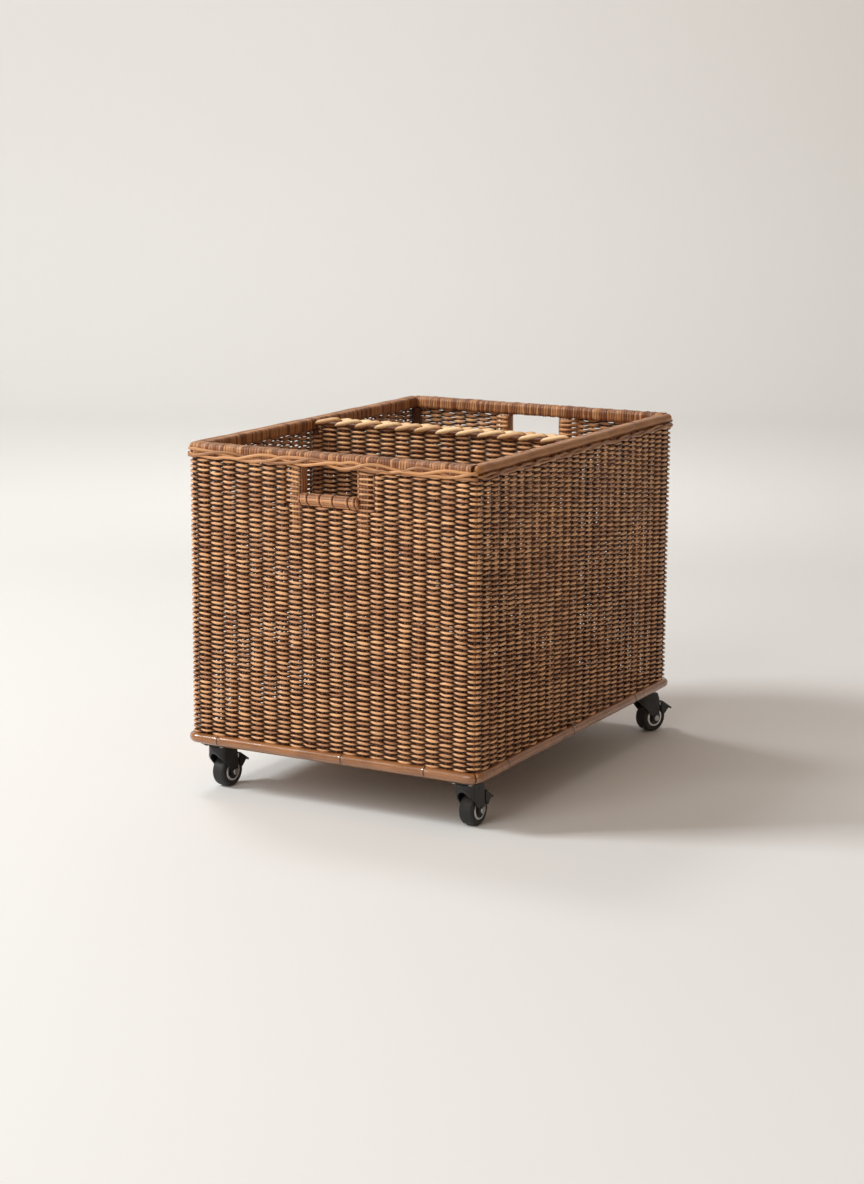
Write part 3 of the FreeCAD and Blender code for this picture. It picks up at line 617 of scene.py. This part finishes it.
# ---- divider ----
def make_divider():
    """The divider's weave: rows from stile to stile, swinging wider at the stiles. The top ones, between the
    rails, stop a little short."""
    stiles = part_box("divider_stiles")
    end = stiles[1].x - 6.0 * MM
    stakes = np.linspace(-end, end, DIVIDER_SPACES + 1)
    wall = Wall((1.0, 0.0), (0.0, -1.0), 1.0, -DIVIDER_Y, 0.0, stakes, 0)
    count = round((BRAID_LOW.z + 3 * MM - BOARD_TOP) / ROW)
    rows = np.arange(count)
    heights = BOARD_TOP + (rows + 0.5) * (BRAID_LOW.z + 3 * MM - BOARD_TOP) / count
    batches = []
    between_rails = RAIL_BOTTOM - 4 * MM
    for some, first in ((rows[heights < between_rails], 0.0), (rows[heights >= between_rails], 0.3)):
        at = np.linspace(first, DIVIDER_SPACES - first, DIVIDER_SPACES * FACE_SEGMENTS + 1)
        size = (len(some), 1)
        uneven = wander(rng.normal(0, 0.34 * MM, (len(some), 2 * DIVIDER_SPACES + 2)), 2 * at)
        z = heights[some][:, None] + uneven
        wave = np.cos(np.pi * at)[None, :] * (1 - 2 * (some[:, None] % 2))
        edge = 1.0 + 0.8 * ease(1.0 - np.minimum(at, DIVIDER_SPACES - at) / 0.8)
        lift = float_lift(wave) * edge
        run = np.interp(at, np.arange(DIVIDER_SPACES + 1), stakes)[None, :] + 0.0 * z
        tall = float_height(wave) * rng.normal(1.0, 0.07, size)
        shade = rng.uniform(0, 1, (len(some), DIVIDER_SPACES + 1))[:, np.rint(at).astype(int)]
        batches.append([run, lift, z, tall, float_tint(rng.uniform(0, 1, size), shade), 0.0 * z])
    weave_piece("divider_weave", wall, batches, ["divider_weave"])


def make_braid():
    """The plait on the divider: two rows of leaves, front and back, over two strands kept dark as painted
    shade under the leaves. A leaf runs from its own edge up to the middle while t goes from -1 to 1, its
    girth the square root of 1 - |t| to the power 2.4. A leaf's thin ends, where it dives under, get painted
    shade."""
    sides, half_leaf = 14, 24.0 * MM
    middle = (BRAID_LOW.z + BRAID_HIGH.z) / 2
    reach = (BRAID_HIGH.y - BRAID_LOW.y) / 2
    first, last = BRAID_LOW.x + half_leaf, BRAID_HIGH.x - half_leaf
    t = np.linspace(-1.0, 1.0, 26)[None, :]
    girth = np.sqrt(np.clip(1.0 - np.abs(t) ** 2.4, 0.012, 1.0))
    climb = ease((t + 1.0) / 2.0)
    parts, tints, crowns = [], [], []
    for row, count in ((-1, 12), (1, 11)):
        pitch = (last - first) / 11
        start = (first + (12 - count) * pitch / 2 + pitch * np.arange(count))[:, None]
        size = rng.normal(1.0, 0.05, (count, 1))
        x = start + rng.normal(0.0, 0.8 * MM, (count, 1)) + half_leaf * t
        y = DIVIDER_Y + row * (reach - 5.9 * MM - 8.4 * MM * climb) + 0.0 * x
        dive = 2.6 * MM * ease((np.abs(t) - 0.62) / 0.38)
        z = middle - 3.6 * MM + 7.0 * MM * climb - dive + rng.normal(0.0, 0.3 * MM, (count, 1))
        paths = np.stack([np.clip(x, BRAID_LOW.x, BRAID_HIGH.x), y, z], axis=-1)
        made = tubes(paths, (0.0, 1.0, 0.3 * row), 5.8 * MM * girth * size, 4.2 * MM * girth * size, sides)
        parts.append(made)
        tints.append(np.broadcast_to(rng.uniform(0.25, 1.0, (count, 1, 1)), made[0].shape[:3]).ravel())
        # Crown falls towards a leaf's thin ends, where it dives under: painted shade there.
        crowns.append(np.broadcast_to((0.15 + 0.85 * girth)[..., None], made[0].shape[:3]).ravel())
    x = np.linspace(BRAID_LOW.x + MM, BRAID_HIGH.x - MM, 60)
    low = middle - 3.4 * MM + 0.0 * x
    core = np.stack([np.stack([x, DIVIDER_Y + side * 4.0 * MM + 0.0 * x, low], -1) for side in (-1, 1)])
    parts.append(tubes(core, (0.0, 1.0, 0.0), 6.0 * MM, 4.6 * MM, sides))
    # The two core strands: the darkest tint and a low crown, as painted shade under the leaves.
    tints.append(np.full(core.shape[0] * core.shape[1] * sides, 0.1))
    crowns.append(np.full(core.shape[0] * core.shape[1] * sides, 0.25))
    points, groups = join(parts)
    values = {"tint": np.concatenate(tints), "crown": np.concatenate(crowns)}
    name = "divider_braid"
    mesh_piece(name, points, groups, MATERIAL["braid"], "rattan_braid", [name], **values)


# ---- node groups, shared by the materials ----
def tone(red, green, blue):
    """A colour given as 0-255 screen values, as the linear colour that shaders take."""
    levels = [v / 255.0 for v in (red, green, blue)]
    return tuple(v / 12.92 if v < 11 / 255.0 else ((v + 0.055) / 1.055) ** 2.4 for v in levels) + (1,)


def add(tree, kind, inputs=(), **settings):
    """A node with its settings and inputs. An input is joined if it is a socket, and is a constant if not."""
    node = tree.nodes.new("ShaderNode" + kind)
    for key, value in settings.items():
        setattr(node, key, value)
    for key, value in dict(inputs).items():
        if isinstance(value, bpy.types.NodeSocket):
            tree.links.new(value, node.inputs[key])
        else:
            node.inputs[key].default_value = value
    return node


def new_group(name, inputs, outputs):
    """An empty node group with its sockets, given as (name, type, value) and (name, type)."""
    tree = bpy.data.node_groups.new(name, "ShaderNodeTree")
    for socket, kind, value in inputs:
        made = tree.interface.new_socket(socket, in_out="INPUT", socket_type="NodeSocket" + kind)
        made.default_value = value
    for socket, kind in outputs:
        tree.interface.new_socket(socket, in_out="OUTPUT", socket_type="NodeSocket" + kind)
    return tree, tree.nodes.new("NodeGroupInput").outputs, tree.nodes.new("NodeGroupOutput").inputs


def stretched(tree, stretch, scale=1.0, detail=3.0):
    """Noise over object coordinates, each axis multiplied by `stretch`."""
    place = add(tree, "TexCoord").outputs["Object"]
    scaled = add(tree, "VectorMath", {0: place, 1: stretch}, operation="MULTIPLY").outputs[0]
    return add(tree, "TexNoise", {"Vector": scaled, "Scale": scale, "Detail": detail}).outputs["Fac"]


def ramped(tree, value, low, high, start=0.0, end=1.0):
    """A value mapped from low-high to start-end, smoothly and held at its ends."""
    inputs = {"Value": value, "From Min": low, "From Max": high, "To Min": start, "To Max": end}
    return add(tree, "MapRange", inputs, interpolation_type="SMOOTHSTEP").outputs["Result"]


def mixed(tree, factor, a, b, blend="MIX"):
    """Colour a, with `factor` of colour b blended over it."""
    return add(tree, "Mix", {0: factor, 6: a, 7: b}, data_type="RGBA", blend_type=blend).outputs[2]


def sums(tree, operation, a, b):
    """a and b through one arithmetic node."""
    return add(tree, "Math", {0: a, 1: b}, operation=operation).outputs[0]


def make_cane_colour():
    """Cane: from a dark to a light colour by the strand's own tint, with blotches and streaks along its
    fibres."""
    sockets = [("Tint", "Float", 0.5), ("Dark", "Color", (0.2, 0.1, 0.05, 1))]
    sockets += [("Light", "Color", (0.5, 0.3, 0.15, 1)), ("Stretch", "Vector", (60, 60, 900))]
    sockets += [("Streaks", "Float", 0.5), ("Blotches", "Float", 0.6)]
    tree, given, result = new_group("cane_colour", sockets, [("Color", "Color"), ("Streak", "Float")])
    streak = stretched(tree, given["Stretch"])
    blotch = stretched(tree, (1.0, 1.0, 1.0), 28.0, 2.0)
    fibres = sums(tree, "MULTIPLY", sums(tree, "SUBTRACT", streak, 0.5), given["Streaks"])
    level = sums(tree, "ADD", given["Tint"], fibres)
    spots = sums(tree, "MULTIPLY", sums(tree, "SUBTRACT", blotch, 0.5), given["Blotches"])
    level = ramped(tree, sums(tree, "ADD", level, spots), 0.0, 1.0)
    tree.links.new(mixed(tree, level, given["Dark"], given["Light"]), result["Color"])
    tree.links.new(streak, result["Streak"])


def make_painted_shade_and_marks():
    """Painted shade in the hollows of the weave, the cane wraps and the braid: a colour multiplied by Shade
    where Crown is low. The pole's nodes and the plywood's plies use it as well, for darker colour of their
    own.
    """
    sockets = [("Color", "Color", (1, 1, 1, 1)), ("Crown", "Float", 1.0)]
    sockets += [("Shade", "Color", (0.3, 0.2, 0.15, 1))]
    tree, given, result = new_group("painted_shade_and_marks", sockets, [("Color", "Color")])
    depth = ramped(tree, given["Crown"], 0.12, 0.88, 1.0, 0.0)
    tree.links.new(mixed(tree, depth, given["Color"], given["Shade"], "MULTIPLY"), result["Color"])


def make_fine_relief():
    """A normal roughened by stretched noise: fibres, grain, powder coat."""
    sockets = [("Stretch", "Vector", (60, 60, 900)), ("Strength", "Float", 0.3)]
    sockets += [("Distance", "Float", 0.0004)]
    tree, given, result = new_group("fine_relief", sockets, [("Normal", "Vector")])
    height = stretched(tree, given["Stretch"])
    inputs = {"Strength": given["Strength"], "Distance": given["Distance"], "Height": height}
    tree.links.new(add(tree, "Bump", inputs).outputs["Normal"], result["Normal"])


def make_uneven_gloss():
    """Roughness that drifts about its middle value, as varnish and handling leave it."""
    sockets = [("Roughness", "Float", 0.5), ("Drift", "Float", 0.2), ("Scale", "Float", 60.0)]
    tree, given, result = new_group("uneven_gloss", sockets, [("Roughness", "Float")])
    noise = sums(tree, "SUBTRACT", stretched(tree, (1.0, 1.0, 1.0), given["Scale"], 4.0), 0.5)
    total = sums(tree, "ADD", given["Roughness"], sums(tree, "MULTIPLY", noise, given["Drift"]))
    tree.links.new(sums(tree, "MAXIMUM", total, 0.08), result["Roughness"])


def make_settled_dust():
    """Pale dust on what faces up, in patches."""
    sockets = [("Color", "Color", (1, 1, 1, 1)), ("Dust", "Color", (0.5, 0.45, 0.4, 1))]
    sockets += [("Amount", "Float", 0.2)]
    tree, given, result = new_group("settled_dust", sockets, [("Color", "Color")])
    upward = add(tree, "SeparateXYZ", {0: add(tree, "NewGeometry").outputs["Normal"]}).outputs["Z"]
    patch = ramped(tree, stretched(tree, (1.0, 1.0, 1.0), 45.0, 5.0), 0.35, 0.7)
    cover = sums(tree, "MULTIPLY", ramped(tree, upward, 0.3, 1.0), patch)
    cover = sums(tree, "MULTIPLY", cover, given["Amount"])
    tree.links.new(mixed(tree, cover, given["Color"], given["Dust"]), result["Color"])


make_cane_colour()
make_painted_shade_and_marks()
make_fine_relief()
make_uneven_gloss()
make_settled_dust()


def use(tree, name, **inputs):
    """One of the groups above in a material, with its inputs joined or set."""
    node = tree.nodes.new("ShaderNodeGroup")
    node.node_tree = bpy.data.node_groups[name]
    for key, value in inputs.items():
        if isinstance(value, bpy.types.NodeSocket):
            tree.links.new(value, node.inputs[key])
        else:
            node.inputs[key].default_value = value
    return node.outputs


def surface(name, **constants):
    """A material and its node tree and Principled shader, with constants set on the shader's own sockets."""
    made = bpy.data.materials.new(name)
    made.use_nodes = True
    shader = made.node_tree.nodes["Principled BSDF"]
    for key, value in constants.items():
        shader.inputs[key.replace("_", " ")].default_value = value
    return made, made.node_tree, shader


def cane_material(
    name, dark, light, stretch, own_tint=True, painted_shade_tone=None, gloss=0.45, relief=0.35, dust=0.0, **more
):
    """Cane, rattan or peeled pole: colour by tint and fibre, painted shade in the hollows where a shade tone
    is given, relief along the fibres.
    """
    made, tree, shader = surface(name, **more)
    tint = add(tree, "Attribute", attribute_name="tint").outputs["Fac"] if own_tint else 0.5
    colour = use(tree, "cane_colour", Tint=tint, Dark=dark, Light=light, Stretch=stretch)["Color"]
    if painted_shade_tone:
        crown = add(tree, "Attribute", attribute_name="crown").outputs["Fac"]
        colour = use(tree, "painted_shade_and_marks", Color=colour, Crown=crown, Shade=tone(*painted_shade_tone))["Color"]
    if dust:
        colour = use(tree, "settled_dust", Color=colour, Amount=dust, Dust=tone(196, 170, 140))["Color"]
    tree.links.new(colour, shader.inputs["Base Color"])
    tree.links.new(use(tree, "uneven_gloss", Roughness=gloss)["Roughness"], shader.inputs["Roughness"])
    normal = use(tree, "fine_relief", Stretch=stretch, Strength=relief)["Normal"]
    tree.links.new(normal, shader.inputs["Normal"])
    return made


def plain_material(name, dark, light, scale, gloss, drift, relief, distance, dust=0.0, **more):
    """Steel, rubber or plastic: two close tones in soft patches, uneven gloss, a fine grain."""
    made, tree, shader = surface(name, **more)
    grain = (scale, scale, scale)
    looks = {"Dark": dark, "Light": light, "Streaks": 0.9, "Blotches": 0.9}
    colour = use(tree, "cane_colour", Stretch=grain, **looks)["Color"]
    if dust:
        colour = use(tree, "settled_dust", Color=colour, Amount=dust, Dust=tone(150, 142, 134))["Color"]
    tree.links.new(colour, shader.inputs["Base Color"])
    rough = use(tree, "uneven_gloss", Roughness=gloss, Drift=drift)["Roughness"]
    tree.links.new(rough, shader.inputs["Roughness"])
    normal = use(tree, "fine_relief", Stretch=grain, Strength=relief, Distance=distance)["Normal"]
    tree.links.new(normal, shader.inputs["Normal"])
    return made


ALONG, UPRIGHT = (70.0, 70.0, 1300.0), (900.0, 900.0, 45.0)
ALONG_Y, ALONG_X = (900.0, 40.0, 900.0), (40.0, 900.0, 900.0)
MATERIAL = {
    "weaver": cane_material(
        "rattan_weave",
        tone(146, 84, 46),
        tone(248, 190, 134),
        ALONG,
        # Multiplied into the weave's hollows as painted shade.
        painted_shade_tone=(66, 40, 28),
        gloss=0.38,
        Coat_Weight=0.4,
        Coat_Roughness=0.2,
    ),
    # Stakes, and the divider's stakes and stiles, get darker tones than the weavers as painted shade: they
    # show only in the gaps of the weave.
    "stake": cane_material("rattan_stake", tone(70, 40, 26), tone(124, 78, 50), UPRIGHT, gloss=0.55),
    "cad_stake": cane_material(
        "rattan_stile", tone(78, 45, 28), tone(128, 80, 50), UPRIGHT, own_tint=False, gloss=0.55
    ),
    "post": cane_material(
        "rattan_post", tone(62, 34, 21), tone(112, 66, 40), UPRIGHT, own_tint=False, gloss=0.4
    ),
    "cap": cane_material(
        "rattan_cap",
        tone(118, 66, 32),
        tone(210, 146, 84),
        ALONG_Y,
        own_tint=False,
        gloss=0.36,
        relief=0.2,
        dust=0.1,
    ),
    "cane": cane_material(
        "cane_wrap",
        tone(128, 74, 40),
        tone(204, 146, 98),
        ALONG,
        # Multiplied into the grooves between turns and the dips of the bars and posts as painted shade.
        painted_shade_tone=(112, 78, 60),
        gloss=0.42,
        dust=0.12,
    ),
    "rope": cane_material(
        "rattan_rope", tone(120, 72, 42), tone(208, 150, 98), ALONG, gloss=0.38, relief=0.25
    ),
    "braid": cane_material(
        "rattan_braid",
        tone(204, 150, 100),
        tone(252, 216, 166),
        ALONG_X,
        # Multiplied into the leaves' thin ends and the core as painted shade.
        painted_shade_tone=(112, 74, 52),
        gloss=0.4,
        relief=0.3,
    ),
}


def make_pole_material():
    """Peeled, varnished pole: long faint streaks, dark at its nodes, under a clear coat."""
    made, tree, shader = surface("polished_pole", Coat_Weight=0.9, Coat_Roughness=0.1)
    dark, light = tone(112, 66, 34), tone(184, 124, 74)
    colour = use(tree, "cane_colour", Tint=0.5, Dark=dark, Light=light, Stretch=(26.0, 26.0, 300.0))["Color"]
    ring = add(tree, "Attribute", attribute_name="ring").outputs["Fac"]
    near = sums(tree, "SUBTRACT", 1.0, ring)
    colour = use(tree, "painted_shade_and_marks", Color=colour, Crown=near, Shade=tone(110, 84, 70))["Color"]
    tree.links.new(colour, shader.inputs["Base Color"])
    tree.links.new(use(tree, "uneven_gloss", Roughness=0.3)["Roughness"], shader.inputs["Roughness"])
    normal = use(tree, "fine_relief", Stretch=(40.0, 40.0, 400.0), Strength=0.15)["Normal"]
    tree.links.new(normal, shader.inputs["Normal"])
    return made


def make_plywood_material():
    """Plywood: pale grain on its face, and thin plies one above the other at its edge, by height."""
    made, tree, shader = surface("plywood")
    grain = (22.0, 260.0, 900.0)
    face = use(tree, "cane_colour", Dark=tone(150, 104, 62), Light=tone(206, 164, 112), Stretch=grain)
    place = add(tree, "SeparateXYZ", {0: add(tree, "TexCoord").outputs["Object"]}).outputs["Z"]
    ply = sums(tree, "FRACT", sums(tree, "MULTIPLY", place, 1.0 / (2.4 * MM)), 0.0)
    colour = use(tree, "painted_shade_and_marks", Color=face["Color"], Crown=ply, Shade=tone(170, 150, 132))["Color"]
    colour = use(tree, "settled_dust", Color=colour, Amount=0.15, Dust=tone(190, 170, 146))["Color"]
    tree.links.new(colour, shader.inputs["Base Color"])
    tree.links.new(use(tree, "uneven_gloss", Roughness=0.6)["Roughness"], shader.inputs["Roughness"])
    normal = use(tree, "fine_relief", Stretch=grain, Strength=0.2)["Normal"]
    tree.links.new(normal, shader.inputs["Normal"])
    return made


MATERIAL["pole"] = make_pole_material()
MATERIAL["plywood"] = make_plywood_material()
MATERIAL["steel"] = plain_material(
    "black_steel", tone(18, 18, 19), tone(40, 40, 42), 1500, 0.4, 0.25, 0.25, 0.0003, 0.15
)
MATERIAL["pedal"] = plain_material(
    "black_pedal", tone(14, 14, 15), tone(30, 30, 32), 1100, 0.32, 0.3, 0.15, 0.0002, 0.1
)
MATERIAL["rubber"] = plain_material(
    "black_tyre", tone(20, 19, 19), tone(44, 42, 40), 700, 0.62, 0.3, 0.3, 0.0004, 0.3
)
MATERIAL["hub"] = plain_material(
    "hub_plastic", tone(34, 34, 35), tone(62, 61, 60), 500, 0.5, 0.2, 0.1, 0.0002, 0.1
)
MATERIAL["ring"] = plain_material(
    "bright_ring", tone(196, 196, 198), tone(226, 226, 226), 900, 0.24, 0.2, 0.1, 0.0001, Metallic=1.0
)
MATERIAL["zinc"] = plain_material(
    "zinc_steel", tone(150, 150, 150), tone(196, 195, 192), 400, 0.34, 0.3, 0.2, 0.0002, Metallic=1.0
)

CAD_LOOKS = {
    "base_board": "plywood",
    "corner_post_": "post",
    "rail_cap_": "cap",
    "divider_stakes": "cad_stake",
    "divider_stiles": "cad_stake",
    "caster_screws": "zinc",
    "_plate": "steel",
    "_fork": "steel",
    "_tyre": "rubber",
    "_hub": "hub",
    "_rings": "ring",
    "_axle": "zinc",
    "_pedal": "pedal",
}
for node_name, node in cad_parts.items():
    for part, look in CAD_LOOKS.items():
        if part in node_name:
            for place in range(len(node.data.materials)):
                node.data.materials[place] = MATERIAL[look]

make_walls()
make_stakes()
make_borders()
make_rails()
make_caps()
make_posts()
make_grip_bars()
make_base_poles()
make_divider()
make_braid()


# ---- stage, light and camera ----
AZIMUTH, ELEVATION, ROLL = (math.radians(v) for v in (28.29, 11.39, 0.36))
BACK = Vector(
    (math.sin(AZIMUTH) * math.cos(ELEVATION), -math.cos(AZIMUTH) * math.cos(ELEVATION), math.sin(ELEVATION))
)
RIGHT = (-BACK).cross(Vector((0, 0, 1))).normalized()
UP = RIGHT.cross(-BACK)
RIGHT, UP = RIGHT * math.cos(ROLL) + UP * math.sin(ROLL), UP * math.cos(ROLL) - RIGHT * math.sin(ROLL)
AWAY = Vector((-BACK.x, -BACK.y, 0)).normalized()
ACROSS = Vector((AWAY.y, -AWAY.x, 0))
CAMERA_BACK, CAMERA_RIGHT, CAMERA_UP = 4.043, -0.0128, 0.2765
LENS_MM, SENSOR_MM = 73.92, 36.0
PAPER_FAR, PAPER_RADIUS, PAPER_REACH = 4.4, 1.2, 8.0


def make_stage():
    """Seamless paper: level floor, a quarter circle of 1.2 m radius, then upright behind the trunk."""
    turn = np.linspace(0, np.pi / 2, 24)
    far, radius = PAPER_FAR, PAPER_RADIUS
    floor_out = np.linspace(-PAPER_REACH, far, 30)
    out = np.concatenate([floor_out, far + radius * np.sin(turn[1:]), [far + radius] * 6])
    up = np.concatenate([np.zeros(30), radius * (1 - np.cos(turn[1:])), radius + np.linspace(0.5, 4.0, 6)])
    across = np.linspace(-PAPER_REACH, PAPER_REACH, 41)
    points = out[:, None, None] * np.array(AWAY) + across[None, :, None] * np.array(ACROSS)
    points[..., 2] = up[:, None]
    index = np.arange(points.shape[0] * points.shape[1]).reshape(points.shape[:2])
    quads = np.stack([index[:-1, :-1], index[:-1, 1:], index[1:, 1:], index[1:, :-1]], axis=-1).reshape(-1, 4)
    mesh = bpy.data.meshes.new("paper")
    mesh.from_pydata(points.reshape(-1, 3).tolist(), [], quads.tolist())
    mesh.polygons.foreach_set("use_smooth", [True] * len(quads))
    made, tree, shader = surface("paper", Specular_IOR_Level=0.2)
    height = add(tree, "SeparateXYZ", {0: add(tree, "TexCoord").outputs["Object"]}).outputs["Z"]
    # Painted shade: the paper is a little darker higher up, for light falling off towards the top of the
    # backdrop.
    level = ramped(tree, height, 0.1, 1.6, 0.9, 0.1)
    shades = {"Dark": tone(236, 235, 235), "Light": tone(243, 244, 245), "Tint": level}
    colour = use(tree, "cane_colour", Stretch=(3.0, 3.0, 3.0), Streaks=0.05, Blotches=0.05, **shades)
    tree.links.new(colour["Color"], shader.inputs["Base Color"])
    tree.links.new(use(tree, "uneven_gloss", Roughness=0.8)["Roughness"], shader.inputs["Roughness"])
    mesh.materials.append(made)
    floor = bpy.data.objects.new("paper", mesh)
    bpy.context.scene.collection.objects.link(floor)


def area_light(name, towards, distance, size, power, colour, aim=(0.0, 0.0, 0.3)):
    """A square softbox, `distance` from the point it is aimed at, in the direction `towards`."""
    lamp = bpy.data.lights.new(name, "AREA")
    lamp.size, lamp.energy, lamp.color = size, power, colour
    made = bpy.data.objects.new(name, lamp)
    bpy.context.scene.collection.objects.link(made)
    made.location = Vector(aim) + towards.normalized() * distance
    made.rotation_euler = towards.to_track_quat("Z", "Y").to_euler()


make_stage()
area_light("key", -ACROSS * 0.78 - AWAY * 0.05 + Vector((0, 0, 0.6)), 8.0, 2.0, 400.0, (0.96, 1.0, 0.99))
area_light("fill", -ACROSS * 0.5 - AWAY * 0.7 + Vector((0, 0, 0.5)), 6.0, 3.5, 115.0, (1.0, 0.985, 0.95))
area_light("overhead", Vector((-0.46, 0.2, 0.86)), 3.5, 0.7, 22.0, (1.0, 1.0, 1.0))
backdrop_foot = AWAY * 5.4 + Vector((0, 0, 0.5))
area_light("wash", -AWAY + Vector((0, 0, 0.45)), 3.2, 1.6, 12.0, (1.0, 0.99, 0.96), backdrop_foot)

world = bpy.data.worlds.new("room")
world.use_nodes = True
world.node_tree.nodes["Background"].inputs["Color"].default_value = (1.0, 0.8, 0.62, 1.0)
world.node_tree.nodes["Background"].inputs["Strength"].default_value = 0.29
bpy.context.scene.world = world
bpy.context.scene.view_settings.view_transform = "Standard"

lens = bpy.data.cameras.new("camera")
lens.sensor_fit, lens.sensor_height, lens.lens = "VERTICAL", SENSOR_MM, LENS_MM
camera = bpy.data.objects.new("camera", lens)
bpy.context.scene.collection.objects.link(camera)
place = BACK * CAMERA_BACK + RIGHT * CAMERA_RIGHT + UP * CAMERA_UP
camera.matrix_world = Matrix.Translation(place) @ Matrix((RIGHT, UP, BACK)).transposed().to_4x4()
bpy.context.scene.camera = camera
